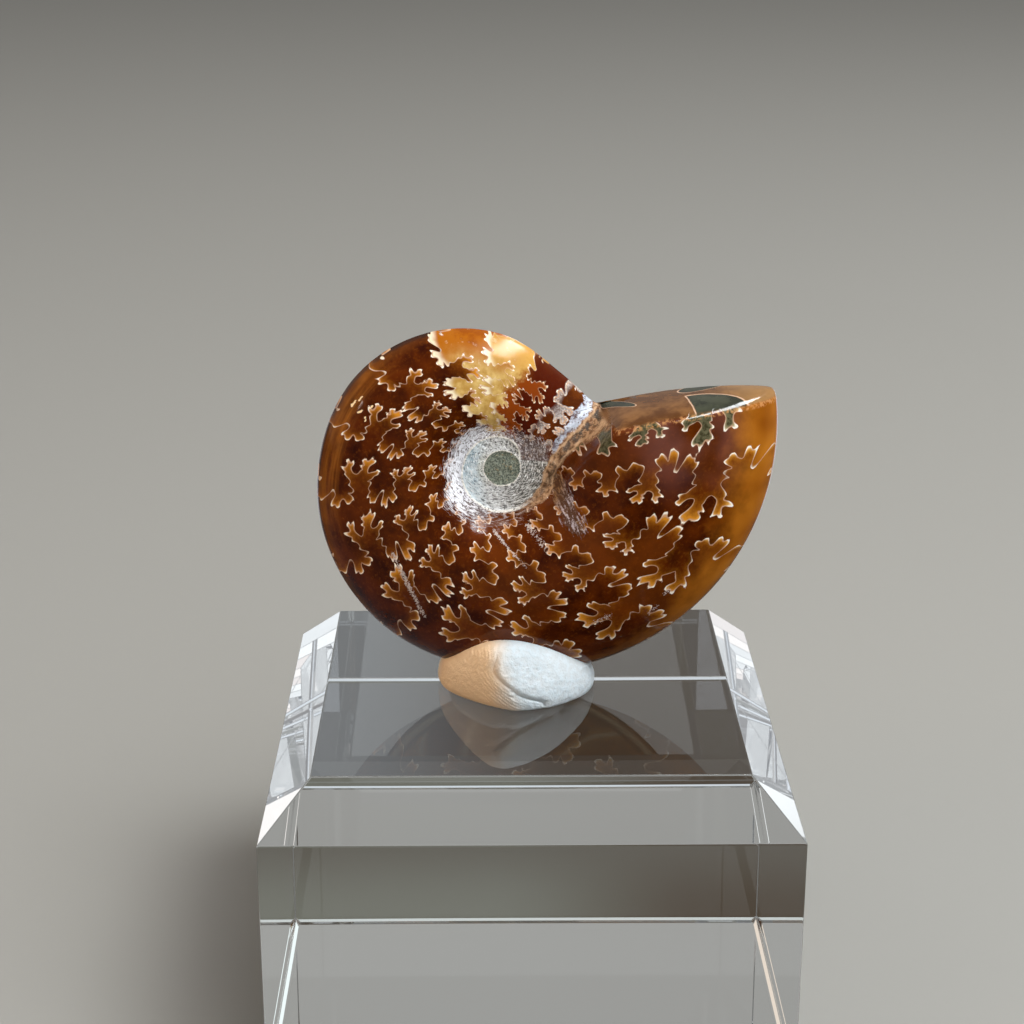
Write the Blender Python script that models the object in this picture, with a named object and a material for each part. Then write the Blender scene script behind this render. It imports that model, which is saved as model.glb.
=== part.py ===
"""Half of a cut and polished ammonite, held upright by putty on a clear acrylic block.

The shell was sawn through its middle plane, so the half has one flat cut face and one
bulging flank. It stands on edge: the cut face is upright and looks back along +Y, the
flank looks towards -Y, and the sawn end of the last whorl looks up. A lump of white putty
grips its lower rim and sits on the block.

Lengths below are in millimetres, and MM turns them into Blender's metres. The origin is
the centre of the block's underside, with +Z up. Inside the fossil's own functions x and z
are measured from the coil centre, and a whorl angle keeps growing as the shell grows.
"""

import math

import bmesh
import bpy
import numpy as np

MM = 0.001

# Clear block: a square prism with its four top edges cut at 45 degrees.
BLOCK_SIDE = 50.0
BLOCK_HEIGHT = 30.4
BLOCK_BEVEL = 4.7

# Where the fossil stands.
COIL_CENTRE_X = -2.76
COIL_CENTRE_Z = BLOCK_HEIGHT + 24.4
CUT_FACE_Y = 1.0

# Rim of the shell: its distance from the coil centre at every 30 degrees of whorl angle.
RIM_STEP = math.radians(30.0)
RIM_FIRST_ANGLE = math.radians(-90.0)
RIM_RADII = (
    7.6, 8.3, 9.0, 9.6,
    10.0, 10.15, 12.0, 13.95, 15.9, 17.55, 19.65, 21.7, 23.0, 24.3, 25.65, 26.95,
    28.1, 28.6, 29.3,
)

# Whorl section, as shares of the rim radius at the same whorl angle.
HALF_THICKNESS = 0.278
CREST = 0.47
SEAM = 0.20
KEEL_POWER = 0.55

# Umbilicus: the filled dish round the coil centre.
DISH_LEVEL = 2.55
DISH_RADIUS = 5.2
DISH_BLEND = 0.3
DISH_RIM_WIDTH = 2.0

# Inner lip of the last whorl: from the umbilicus straight to the notch in the outline.
LIP_START = (4.4, -1.5)
NOTCH = (9.74, 4.97)
LIP_WIDTH = 1.8
LIP_FADE = math.radians(40.0)

# The notch is filled a little: the earlier whorl's rim flares out to meet the sawn end.
NOTCH_FLARE = 0.95
NOTCH_FLARE_ANGLE = math.radians(4.0)

# Sawn end of the last whorl: a slightly bowed line from the notch out to the rim.
END_SLOPE = 0.2635
END_BOW = 0.00935
END_EDGE_RADIUS = 1.3
END_EDGE_POWER = 2.4
TIP_ROUNDING = 1.0

# Putty: plan outline, heights, and the gap that it keeps to the fossil and the block.
PUTTY_CENTRE = (-1.1, 1.0)
PUTTY_HALF_LENGTH = 8.25
PUTTY_FRONT = 7.4
PUTTY_BACK = 3.6
PUTTY_LEFT_POWER = 1.35
PUTTY_RIGHT_POWER = 1.75
PUTTY_PEAK_X = -1.6
PUTTY_PEAK_LEFT = 9.2
PUTTY_PEAK_RIGHT = 10.0
PUTTY_PEAK_POWER = 0.8
PUTTY_FRONT_HEIGHT = 7.2
PUTTY_BACK_HEIGHT = 4.6
GAP = 0.3

# Outline of the putty from its underside to its top: share of height, share of plan size.
PUTTY_PROFILE = (
    (0.0, 0.90), (0.06, 0.97), (0.2, 1.0), (0.4, 0.99), (0.6, 0.94), (0.8, 0.86),
    (0.93, 0.74), (1.0, 0.52), (1.03, 0.28), (1.04, 0.08),
)


# How finely the solids are cut.
OUTLINE_POINTS = 108
OUTLINE_SAMPLES = 8000
RINGS = 32
RIM_CROWDING = 1.7
INNER_CIRCLE = 9.5
INNER_TURN = math.radians(35.0)
PUTTY_COLUMNS = 48


def clear_scene():
    for item in list(bpy.data.objects):
        bpy.data.objects.remove(item, do_unlink=True)


def make_material(name, colour, roughness, alpha=1.0):
    material = bpy.data.materials.new(name)
    material.use_nodes = True
    shader = material.node_tree.nodes["Principled BSDF"]
    shader.inputs["Base Color"].default_value = (*colour, 1.0)
    shader.inputs["Roughness"].default_value = roughness
    shader.inputs["Metallic"].default_value = 0.0
    shader.inputs["Alpha"].default_value = alpha
    return material


def add_object(name, mesh, material):
    item = bpy.data.objects.new(name, mesh)
    item.data.materials.append(material)
    bpy.context.scene.collection.objects.link(item)
    return item


def smooth_step(value):
    value = np.clip(value, 0.0, 1.0)
    return value * value * (3.0 - 2.0 * value)


def soft_max(first, second, blend):
    return 0.5 * (first + second + np.sqrt((first - second) ** 2 + blend ** 2))


def rim_radius(whorl_angle):
    """Rim radius at a whorl angle, by a smooth curve through RIM_RADII (Catmull-Rom)."""
    radii = np.array(RIM_RADII)
    place = (np.asarray(whorl_angle) - RIM_FIRST_ANGLE) / RIM_STEP
    place = np.clip(place, 1.0, len(radii) - 3.0)
    index = np.minimum(place.astype(int), len(radii) - 3)
    part = place - index
    before, start, end, after = (radii[index + shift] for shift in (-1, 0, 1, 2))
    line = end - before
    curve = 2.0 * before - 5.0 * start + 4.0 * end - after
    twist = 3.0 * start - before - 3.0 * end + after
    past_notch = np.clip(whorl_angle - math.atan2(NOTCH[1], NOTCH[0]), 0.0, None)
    flare = NOTCH_FLARE * np.exp(-past_notch / NOTCH_FLARE_ANGLE)
    return start + 0.5 * part * (line + part * (curve + part * twist)) + flare


def flank_height(radius, whorl_angle):
    """Height of one whorl's flank over the cut face: an oval from its seam to its keel."""
    rim = rim_radius(whorl_angle)
    share = radius / rim
    outer = np.clip((share - CREST) / (1.0 - CREST), 0.0, 1.0)
    inner = np.clip((CREST - share) / (CREST - SEAM), 0.0, 1.0)
    return HALF_THICKNESS * rim * (1.0 - outer ** 2) ** KEEL_POWER * np.sqrt(1.0 - inner ** 2)


def lip_distance(x, z):
    """Distance from the last whorl's inner lip, positive on the last whorl's side."""
    angle = np.arctan2(z, x)
    start_angle = math.atan2(LIP_START[1], LIP_START[0])
    length = math.dist(LIP_START, NOTCH)
    normal_x = (NOTCH[1] - LIP_START[1]) / length
    normal_z = (LIP_START[0] - NOTCH[0]) / length
    from_line = (x - LIP_START[0]) * normal_x + (z - LIP_START[1]) * normal_z
    merging = LIP_WIDTH * smooth_step((start_angle - angle) / LIP_FADE)
    from_dish = np.hypot(x, z) - math.hypot(*LIP_START) + merging
    return np.where(angle > start_angle, from_line, from_dish)


def end_distance(x, z):
    """Distance in from the sawn end, measured square to it."""
    along = x - NOTCH[0]
    level = NOTCH[1] + END_SLOPE * along - END_BOW * along ** 2
    slope = END_SLOPE - 2.0 * END_BOW * along
    return (level - z) / np.sqrt(1.0 + slope ** 2)


def end_radius(angle):
    """Distance from the coil centre to the sawn end, along a ray: a quadratic's root."""
    cosine, sine = np.cos(angle), np.sin(angle)
    square = END_BOW * cosine ** 2
    linear = sine - END_SLOPE * cosine - 2.0 * NOTCH[0] * END_BOW * cosine
    constant = END_SLOPE * NOTCH[0] + END_BOW * NOTCH[0] ** 2 - NOTCH[1]
    return (np.sqrt(linear ** 2 - 4.0 * square * constant) - linear) / (2.0 * square)


def outline_radius(angle):
    """Radius of the fossil's outline at angles from -180 to 180 degrees."""
    notch_angle = math.atan2(NOTCH[1], NOTCH[0])
    last_whorl = rim_radius(angle + 2.0 * math.pi)
    sawn_end = end_radius(np.clip(angle, math.radians(-60.0), notch_angle))
    ground_off = -soft_max(-last_whorl, -sawn_end, TIP_ROUNDING)
    return np.where(angle > notch_angle, rim_radius(angle), ground_off)


def shell_height(x, z):
    """Height of the flank over the cut face.

    Near the sawn end two whorls share each ray: the earlier one lies left of the lip and
    the last one lies right of it. Everywhere else there is one whorl over the dish.
    """
    radius = np.hypot(x, z)
    angle = np.arctan2(z, x)
    edge = np.clip(end_distance(x, z) / END_EDGE_RADIUS, 0.0, 1.0)
    rounding = (1.0 - (1.0 - edge) ** END_EDGE_POWER) ** (1.0 / END_EDGE_POWER)
    earlier = flank_height(radius, angle)
    last = flank_height(radius, angle + 2.0 * math.pi) * rounding
    over_lip = smooth_step(lip_distance(x, z) / LIP_WIDTH)
    two_whorls = np.abs(angle) < math.radians(100.0)
    one_whorl = flank_height(radius, np.mod(angle, 2.0 * math.pi))
    flank = np.where(two_whorls, earlier + (last - earlier) * over_lip, one_whorl)
    dish_share = 1.0 - smooth_step((radius - DISH_RADIUS) / DISH_RIM_WIDTH)
    return flank + (soft_max(flank, DISH_LEVEL, DISH_BLEND) - flank) * dish_share


def wrapped(angle):
    return np.mod(angle + math.pi, 2.0 * math.pi) - math.pi


def even_outline_angles(count):
    """Angles that space the outline's points evenly, with one exactly in the notch."""
    notch_angle = math.atan2(NOTCH[1], NOTCH[0])
    sweep = np.linspace(0.0, 2.0 * math.pi, OUTLINE_SAMPLES)
    angle = wrapped(notch_angle + sweep)
    radius = outline_radius(angle)
    steps = np.hypot(np.diff(radius * np.cos(angle)), np.diff(radius * np.sin(angle)))
    length = np.concatenate(([0.0], np.cumsum(steps)))
    even_sweep = np.interp(np.arange(count) / count * length[-1], length, sweep)
    return wrapped(notch_angle + even_sweep)


def flank_loops(columns, rings):
    """Closed loops over the flank, from a small circle in the dish out to the rim.

    Inner loops are nearly even circles and outer ones nearly copies of the outline. They
    crowd towards the rim, where the flank curls over to meet the cut face.
    """
    angles = even_outline_angles(columns)
    outline = outline_radius(angles)
    outline_x, outline_z = outline * np.cos(angles), outline * np.sin(angles)
    circle_angles = angles[0] + INNER_TURN + 2.0 * math.pi * np.arange(columns) / columns
    circle_x, circle_z = INNER_CIRCLE * np.cos(circle_angles), INNER_CIRCLE * np.sin(circle_angles)
    loops = []
    for ring in range(1, rings + 1):
        share = 1.0 - (1.0 - ring / rings) ** RIM_CROWDING
        x = share * (circle_x + share * (outline_x - circle_x))
        z = share * (circle_z + share * (outline_z - circle_z))
        height = shell_height(x, z) if ring < rings else np.zeros(columns)
        loops.append(np.column_stack(place_on_stand(x, height, z)))
    return loops


def place_on_stand(x, height, z):
    return (
        (COIL_CENTRE_X + x) * MM,
        (CUT_FACE_Y - height) * MM,
        (COIL_CENTRE_Z + z) * MM,
    )


def loft(name, loops):
    """A closed solid skinned over closed loops of points, with both ends capped flat."""
    shape = bmesh.new()
    rings = [[shape.verts.new(point) for point in loop] for loop in loops]
    for inner, outer in zip(rings, rings[1:]):
        for index in range(len(inner)):
            after = (index + 1) % len(inner)
            shape.faces.new((inner[index], inner[after], outer[after], outer[index]))
    shape.faces.new(rings[0])
    shape.faces.new(rings[-1])
    bmesh.ops.recalc_face_normals(shape, faces=shape.faces)
    mesh = bpy.data.meshes.new(name)
    shape.to_mesh(mesh)
    shape.free()
    return mesh


def make_block():
    """The stand: a clear cube-cut block with its top edges bevelled."""
    shape = bmesh.new()
    bmesh.ops.create_cube(shape, size=1.0)
    bmesh.ops.scale(
        shape, verts=shape.verts, vec=(BLOCK_SIDE * MM, BLOCK_SIDE * MM, BLOCK_HEIGHT * MM)
    )
    bmesh.ops.translate(shape, verts=shape.verts, vec=(0.0, 0.0, 0.5 * BLOCK_HEIGHT * MM))
    middle = 0.5 * BLOCK_HEIGHT * MM
    top_edges = [
        edge for edge in shape.edges if all(corner.co.z > middle for corner in edge.verts)
    ]
    bmesh.ops.bevel(
        shape, geom=top_edges, offset=BLOCK_BEVEL * MM, segments=1, affect="EDGES"
    )
    mesh = bpy.data.meshes.new("block")
    shape.to_mesh(mesh)
    shape.free()
    clear = make_material("clear acrylic", (0.92, 0.94, 0.94), 0.03, alpha=0.3)
    return add_object("block", mesh, clear)


def make_fossil():
    """The half shell: its flank skinned from the coil centre to the rim, its back flat."""
    mesh = loft("fossil", flank_loops(OUTLINE_POINTS, RINGS))
    mesh.shade_smooth()
    mesh.set_sharp_from_angle(angle=math.radians(50.0))
    amber = make_material("polished ammonite", (0.17, 0.05, 0.01), 0.15)
    return add_object("fossil", mesh, amber)


def putty_height(x, y):
    """Height of the putty's crest at a place in plan: low at the tips and at the back."""
    half = PUTTY_PEAK_LEFT if x < PUTTY_PEAK_X else PUTTY_PEAK_RIGHT
    across = max(0.0, 1.0 - ((x - PUTTY_PEAK_X) / half) ** 2) ** PUTTY_PEAK_POWER
    backwards = (y - PUTTY_CENTRE[1] + PUTTY_FRONT) / (PUTTY_FRONT + PUTTY_BACK)
    return across * (PUTTY_FRONT_HEIGHT + (PUTTY_BACK_HEIGHT - PUTTY_FRONT_HEIGHT) * backwards)


def putty_loop(height_share, plan_share):
    """One level of the putty: a pointed oval in plan, blunter on its right."""
    loop = []
    for step in range(PUTTY_COLUMNS):
        angle = 2.0 * math.pi * step / PUTTY_COLUMNS
        cosine, sine = math.cos(angle), math.sin(angle)
        power = PUTTY_RIGHT_POWER if cosine > 0.0 else PUTTY_LEFT_POWER
        size = (abs(cosine) ** power + abs(sine) ** power) ** (-1.0 / power)
        depth = PUTTY_BACK if sine > 0.0 else PUTTY_FRONT
        x = PUTTY_CENTRE[0] + plan_share * PUTTY_HALF_LENGTH * size * cosine
        y = PUTTY_CENTRE[1] + plan_share * depth * size * sine
        z = BLOCK_HEIGHT + GAP + height_share * putty_height(x, y)
        loop.append((x * MM, y * MM, z * MM))
    return loop


def make_putty(fossil):
    """The lump of putty, with the fossil's seat cut out of it."""
    loops = [putty_loop(*level) for level in PUTTY_PROFILE]
    mesh = loft("putty", loops)
    mesh.shade_smooth()
    white = make_material("white putty", (0.82, 0.80, 0.78), 0.75)
    putty = add_object("putty", mesh, white)

    shape = bmesh.new()
    shape.from_mesh(fossil.data)
    shape.normal_update()
    moves = [corner.normal * corner.calc_shell_factor() * GAP * MM for corner in shape.verts]
    for corner, move in zip(shape.verts, moves):
        corner.co += move
    seat_mesh = bpy.data.meshes.new("seat")
    shape.to_mesh(seat_mesh)
    shape.free()
    seat = bpy.data.objects.new("seat", seat_mesh)
    seat.hide_render = True
    seat.display_type = "WIRE"
    bpy.context.scene.collection.objects.link(seat)

    cut = putty.modifiers.new("seat", "BOOLEAN")
    cut.operation = "DIFFERENCE"
    cut.object = seat
    return putty


def main():
    clear_scene()
    make_block()
    fossil = make_fossil()
    make_putty(fossil)


main()
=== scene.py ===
# %% [markdown]
# # Half an ammonite on a clear block
#
# The object has three separate pieces: a sawn and polished ammonite half, the lump of
# putty that holds it on edge, and a clear acrylic block. Their places and sizes come from
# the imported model, so this script first loads that model as a fixed frame and then dresses
# every piece. The fossil and the putty get new, much finer surfaces that are worked out
# with numpy, because their look lies in fine lines and wrinkles that a light solid lacks.
# %% Load the frame
import math

import bpy
import numpy as np
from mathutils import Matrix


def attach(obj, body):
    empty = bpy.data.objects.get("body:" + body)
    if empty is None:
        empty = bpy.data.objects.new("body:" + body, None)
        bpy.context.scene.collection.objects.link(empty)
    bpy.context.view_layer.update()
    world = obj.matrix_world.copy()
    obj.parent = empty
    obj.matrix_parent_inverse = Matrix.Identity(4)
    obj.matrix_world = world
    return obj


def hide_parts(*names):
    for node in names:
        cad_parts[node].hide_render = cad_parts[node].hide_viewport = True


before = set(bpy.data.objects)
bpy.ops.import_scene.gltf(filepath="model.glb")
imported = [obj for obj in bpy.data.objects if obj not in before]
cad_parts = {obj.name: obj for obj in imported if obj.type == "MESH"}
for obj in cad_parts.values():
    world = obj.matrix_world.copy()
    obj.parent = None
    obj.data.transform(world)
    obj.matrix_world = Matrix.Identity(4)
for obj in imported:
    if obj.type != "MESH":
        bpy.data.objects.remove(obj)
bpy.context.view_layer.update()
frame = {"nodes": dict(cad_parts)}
MM = 0.001
print("pieces:", ", ".join(frame["nodes"]))

# %% [markdown]
# ## The camera
#
# A close view of a palm-sized object, from a little above and square to its front. A long
# lens keeps the block's sides nearly parallel. A camera looks down its own -Z axis, so its
# turn comes from the direction it faces.
# %% Camera
from mathutils import Vector

CAMERA_PLACE = (-0.003542, -0.192599, 0.116393)
CAMERA_DIRECTION = (0.00957, 0.94379, -0.33040)
CAMERA_LENS = 73.04

camera_data = bpy.data.cameras.new("camera")
camera_data.lens = CAMERA_LENS
camera = bpy.data.objects.new("camera", camera_data)
camera.location = CAMERA_PLACE
camera.rotation_euler = Vector(CAMERA_DIRECTION).to_track_quat("-Z", "Y").to_euler()
bpy.context.scene.collection.objects.link(camera)
bpy.context.scene.camera = camera
print("camera looks down by", round(math.degrees(math.asin(-CAMERA_DIRECTION[2])), 1), "degrees")

# %% [markdown]
# ## The shape of the shell
#
# An ammonite coils like a flat spiral and every turn, or whorl, overlaps the last one. A
# mould or a scan could give the form. Here it is a height over the flat cut face, because
# half a shell has nothing undercut: one formula then gives the height at any place. The
# values are those of the plain solid, with a slightly sharper lip, so that the fine surface
# lies on the coarse one.
#
# All places on the fossil are in millimetres from the coil centre. A whorl angle starts on
# the right and keeps growing as the shell grows: over the top, down the left and along the
# bottom, until the last whorl ends at the saw cut.
# %% Place of the shell
COIL_CENTRE_X = -2.76
BLOCK_HEIGHT = 30.4
COIL_CENTRE_Z = BLOCK_HEIGHT + 24.4
CUT_FACE_Y = 1.0

print("coil centre is", COIL_CENTRE_Z, "mm over the floor")


# %% Helpers for smooth shapes
def smooth_step(value):
    """0 below 0, 1 above 1, and 3v^2 - 2v^3 in between."""
    value = np.clip(value, 0.0, 1.0)
    return value * value * (3.0 - 2.0 * value)


def fade(value, start, end):
    """0 where the value is at start, 1 where it is at end, smooth in between."""
    return smooth_step((value - start) / (end - start))


def soft_max(first, second, blend):
    """The larger of two values, with a round corner where they are equal."""
    return 0.5 * (first + second + np.sqrt((first - second) ** 2 + blend ** 2))


def smooth_curve(values, place):
    """Catmull-Rom: a smooth curve through values, read at places between their indices."""
    values = np.asarray(values, float)
    place = np.clip(place, 1.0, len(values) - 2.0)
    index = np.minimum(place.astype(int), len(values) - 3)
    part = place - index
    if values.ndim > 1:
        part = part[:, None]
    before, start, end, after = (values[index + shift] for shift in (-1, 0, 1, 2))
    curve = 2.0 * before - 5.0 * start + 4.0 * end - after
    twist = 3.0 * start - before - 3.0 * end + after
    return start + 0.5 * part * (end - before + part * (curve + part * twist))


print("a fade from 2 to 4, read at 3:", fade(3.0, 2.0, 4.0))


# %% [markdown]
# The rim is given by its radius at every 30 degrees of whorl angle, from straight below the
# centre on the turn before, and it flares a little at the notch, where the saw cut meets it.
# A whorl's height, its crest and its seam are shares of that radius, so every whorl has the
# same form at its own size.
# %% Rim and height of a whorl
RIM_FIRST_ANGLE = math.radians(-90.0)
RIM_STEP = math.radians(30.0)
RIM_RADII = (
    7.6, 8.3, 9.0, 9.6,
    10.0, 10.15, 12.0, 13.95, 15.9, 17.55, 19.65, 21.7, 23.0, 24.3, 25.65, 26.95,
    28.1, 28.6, 29.3,
)
NOTCH = (9.74, 4.97)
NOTCH_FLARE = 0.95
NOTCH_FLARE_ANGLE = math.radians(4.0)

HALF_THICKNESS = 0.278
CREST = 0.47
SEAM = 0.20
KEEL_POWER = 0.55


def rim_radius(whorl_angle):
    """Distance of the rim from the coil centre: a curve through RIM_RADII, flared at the notch."""
    radii = smooth_curve(RIM_RADII, (whorl_angle - RIM_FIRST_ANGLE) / RIM_STEP)
    past_notch = np.clip(whorl_angle - math.atan2(NOTCH[1], NOTCH[0]), 0.0, None)
    return radii + NOTCH_FLARE * np.exp(-past_notch / NOTCH_FLARE_ANGLE)


def flank_height(radius, whorl_angle):
    """One whorl: an oval that rises from its seam to its crest and falls to its keel."""
    rim = rim_radius(whorl_angle)
    share = radius / rim
    outer = np.clip((share - CREST) / (1.0 - CREST), 0.0, 1.0)
    inner = np.clip((CREST - share) / (CREST - SEAM), 0.0, 1.0)
    return HALF_THICKNESS * rim * (1.0 - outer ** 2) ** KEEL_POWER * np.sqrt(1.0 - inner ** 2)


print("rim at the top, left and bottom, mm:", rim_radius(np.radians([90.0, 180.0, 270.0])).round(1))


# %% [markdown]
# Right of the coil centre two whorls lie side by side, and the last one ends there at a saw
# cut. Two distances settle which of them is seen: one from the last whorl's inner lip and
# one in from the cut. The lip is a straight line up to the notch, and its lower end runs on
# as a circle round the dish until it merges with the flank. The cut is a slope that bows
# down, with its edge rounded and its outer tip ground off.
# %% Lip and saw cut
LIP_START = (4.4, -1.5)
LIP_WIDTH = 1.5
LIP_FADE = math.radians(40.0)

END_SLOPE = 0.2635
END_BOW = 0.00935
END_EDGE_RADIUS = 1.3
END_EDGE_POWER = 2.4
TIP_ROUNDING = 1.0
FAR_BELOW = math.radians(-60.0)


def lip_distance(x, z):
    """Distance from the last whorl's inner lip, positive on the last whorl's side.

    Above the lip's start it is measured square to the straight lip. Below, it is how far
    the place lies outside the circle round the dish, and it grows as the lip merges.
    """
    angle = np.arctan2(z, x)
    start_angle = math.atan2(LIP_START[1], LIP_START[0])
    length = math.dist(LIP_START, NOTCH)
    normal_x = (NOTCH[1] - LIP_START[1]) / length
    normal_z = (LIP_START[0] - NOTCH[0]) / length
    from_line = (x - LIP_START[0]) * normal_x + (z - LIP_START[1]) * normal_z
    merging = LIP_WIDTH * smooth_step((start_angle - angle) / LIP_FADE)
    from_dish = np.hypot(x, z) - math.hypot(*LIP_START) + merging
    return np.where(angle > start_angle, from_line, from_dish)


def end_distance(x, z):
    """Distance in from the saw cut: how far below it the place is, over sqrt(1 + slope^2)."""
    along = x - NOTCH[0]
    level = NOTCH[1] + END_SLOPE * along - END_BOW * along ** 2
    slope = END_SLOPE - 2.0 * END_BOW * along
    return (level - z) / np.sqrt(1.0 + slope ** 2)


def end_radius(angle):
    """Distance from the coil centre to the saw cut along a ray: the root of a quadratic."""
    cosine, sine = np.cos(angle), np.sin(angle)
    square = END_BOW * cosine ** 2
    linear = sine - END_SLOPE * cosine - 2.0 * NOTCH[0] * END_BOW * cosine
    constant = END_SLOPE * NOTCH[0] + END_BOW * NOTCH[0] ** 2 - NOTCH[1]
    return (np.sqrt(linear ** 2 - 4.0 * square * constant) - linear) / (2.0 * square)


def outline_radius(angle):
    """Radius of the whole outline: the rim, and below the notch the smaller of rim and cut."""
    notch_angle = math.atan2(NOTCH[1], NOTCH[0])
    last_whorl = rim_radius(angle + 2.0 * math.pi)
    sawn_end = end_radius(np.clip(angle, FAR_BELOW, notch_angle))
    ground_off = -soft_max(-last_whorl, -sawn_end, TIP_ROUNDING)
    return np.where(angle > notch_angle, rim_radius(angle), ground_off)


print("outline right of the centre, mm:", outline_radius(np.zeros(1)).round(1))


# %% [markdown]
# All of this is put together here: the heights of the whorls, the step over the lip, the
# rounded edge of the saw cut, and the level dish in the coil's middle.
# %% Height at any place
TWO_WHORLS = math.radians(100.0)
DISH_LEVEL = 2.55
DISH_RADIUS = 5.2
DISH_BLEND = 0.3
DISH_RIM_WIDTH = 2.0


def whorl_angle_at(x, z):
    """Whorl angle of the surface: right of the lip it is the last whorl, one turn on."""
    angle = np.arctan2(z, x)
    beside = np.where(lip_distance(x, z) > 0.0, angle + 2.0 * math.pi, angle)
    return np.where(np.abs(angle) < TWO_WHORLS, beside, np.mod(angle, 2.0 * math.pi))


def shell_height(x, z):
    """Height over the cut face, with two whorls near the saw cut and one elsewhere.

    The last whorl covers the earlier one by a smooth step over the lip, and the dish is
    the larger of the flank and a flat level.
    """
    radius = np.hypot(x, z)
    angle = np.arctan2(z, x)
    edge = np.clip(end_distance(x, z) / END_EDGE_RADIUS, 0.0, 1.0)
    rounding = (1.0 - (1.0 - edge) ** END_EDGE_POWER) ** (1.0 / END_EDGE_POWER)
    earlier = flank_height(radius, angle)
    last = flank_height(radius, angle + 2.0 * math.pi) * rounding
    over_lip = smooth_step(lip_distance(x, z) / LIP_WIDTH)
    one_whorl = flank_height(radius, np.mod(angle, 2.0 * math.pi))
    flank = np.where(np.abs(angle) < TWO_WHORLS, earlier + (last - earlier) * over_lip, one_whorl)
    dish_share = 1.0 - smooth_step((radius - DISH_RADIUS) / DISH_RIM_WIDTH)
    return flank + (soft_max(flank, DISH_LEVEL, DISH_BLEND) - flank) * dish_share


crest_height = shell_height(np.array([0.0]), np.array([-12.0]))
print("height at the crest below the centre, mm:", crest_height.round(1))

# %% [markdown]
# ## From rings of points to a mesh
#
# A turned or lofted piece is a grid of points: ring after ring, each with the same number of
# points. Bridging a few rings by hand would be quick, but a fine surface has a hundred
# thousand points. So the faces are worked out as one array of indices: each face joins a
# point, its neighbour along the ring, and the two points across from them on the next ring.
# A single point closes each end, so the skin has no hole.
# %% Skin a closed surface over rings
def skin(name, rings, first_pole, last_pole):
    """A closed mesh over an array of rings (ring, point, xyz), with a pole point at each end."""
    ring_count, columns = rings.shape[:2]
    points = np.concatenate((rings.reshape(-1, 3), [first_pole], [last_pole]))
    here = np.arange(columns)
    after = (here + 1) % columns
    start = columns * np.arange(ring_count - 1)[:, None]
    next_start = start + columns
    sides = np.stack((start + here, next_start + here, next_start + after, start + after), axis=-1)
    first_pole_index = np.full(columns, ring_count * columns)
    first = np.stack((first_pole_index, here, after), axis=-1)
    last_start = (ring_count - 1) * columns
    last = np.stack((last_start + here, first_pole_index + 1, last_start + after), axis=-1)
    corners = np.concatenate((sides.ravel(), first.ravel(), last.ravel()))
    sizes = np.concatenate((np.full(sides.size // 4, 4), np.full(2 * columns, 3)))
    mesh = bpy.data.meshes.new(name)
    mesh.vertices.add(len(points))
    mesh.vertices.foreach_set("co", points.astype(np.float32).ravel())
    mesh.loops.add(len(corners))
    mesh.loops.foreach_set("vertex_index", corners.astype(np.int32))
    mesh.polygons.add(len(sizes))
    mesh.polygons.foreach_set("loop_start", (np.cumsum(sizes) - sizes).astype(np.int32))
    mesh.update(calc_edges=True)
    mesh.validate()
    mesh.shade_smooth()
    piece = bpy.data.objects.new(name, mesh)
    bpy.context.scene.collection.objects.link(piece)
    print(name, "has", int((sizes - 2).sum()), "triangles")
    return piece


def add_measure(piece, name, values):
    """Stores one number per point, which a material reads with an Attribute node."""
    layer = piece.data.attributes.new(name, "FLOAT", "POINT")
    layer.data.foreach_set("value", np.asarray(values, np.float32))


print("ready to skin rings of points")

# %% [markdown]
# ## Roughness that repeats exactly
#
# Natural surfaces need irregular dents. A lattice of random numbers, read with a smooth
# curve between its knots, gives soft bumps of any size. The seed is fixed, so every run
# makes the same stone.
# %% Smooth random bumps
LATTICE_KNOTS = 64
LATTICE = np.random.default_rng(11).uniform(-1.0, 1.0, (LATTICE_KNOTS, LATTICE_KNOTS))


def bumps(first, second, size):
    """Smooth noise from -1 to 1: four lattice knots, blended by a smooth step each way."""
    column, row = first / size, second / size
    left, low = np.floor(column).astype(int), np.floor(row).astype(int)
    across, up = smooth_step(column - left), smooth_step(row - low)
    corner = [
        [LATTICE[(low + step_up) % LATTICE_KNOTS, (left + step_across) % LATTICE_KNOTS]
         for step_across in (0, 1)]
        for step_up in (0, 1)
    ]
    below = corner[0][0] + (corner[0][1] - corner[0][0]) * across
    above = corner[1][0] + (corner[1][1] - corner[1][0]) * across
    return below + (above - below) * up


print("lattice of", LATTICE.size, "random numbers")

# %% [markdown]
# ## The dish in the middle
#
# The first whorls are filled with chalky white and grey-green stone, and the walls between
# them stand out as two thin ridges: a small closed ring, and a wider turn that runs out into
# the tan seam under the last whorl's lip. They could be separate wires, but they are the
# stone itself, so they are raised lines in the same height formula.
# %% Ridges and seam of the dish
RING_RADII = (2.43, 1.83, 1.27, 1.03, 1.08, 1.43, 2.06, 2.55, 2.43, 1.83, 1.27)
TURN_RADII = (1.70, 1.83, 2.20, 2.38, 2.75, 3.40, 4.55, 5.10, 5.10, 5.25, 5.30)
RIDGE_STEP = math.radians(45.0)
SEAM_POINTS = (
    (-0.9, -5.1), (0.6, -5.15), (2.2, -4.75), (3.6, -3.8), (4.55, -2.5), (4.85, -1.1), (5.5, 0.35),
    (6.7, 1.75), (8.2, 3.1), (9.7, 4.55), (11.0, 5.9),
)
SEAM_SAMPLES = 60


def radius_by_angle(radii, angle):
    """Smooth radius from a list of radii, one every 45 degrees, with one spare at each end."""
    return smooth_curve(radii, 1.0 + np.mod(angle, 2.0 * math.pi) / RIDGE_STEP)


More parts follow.
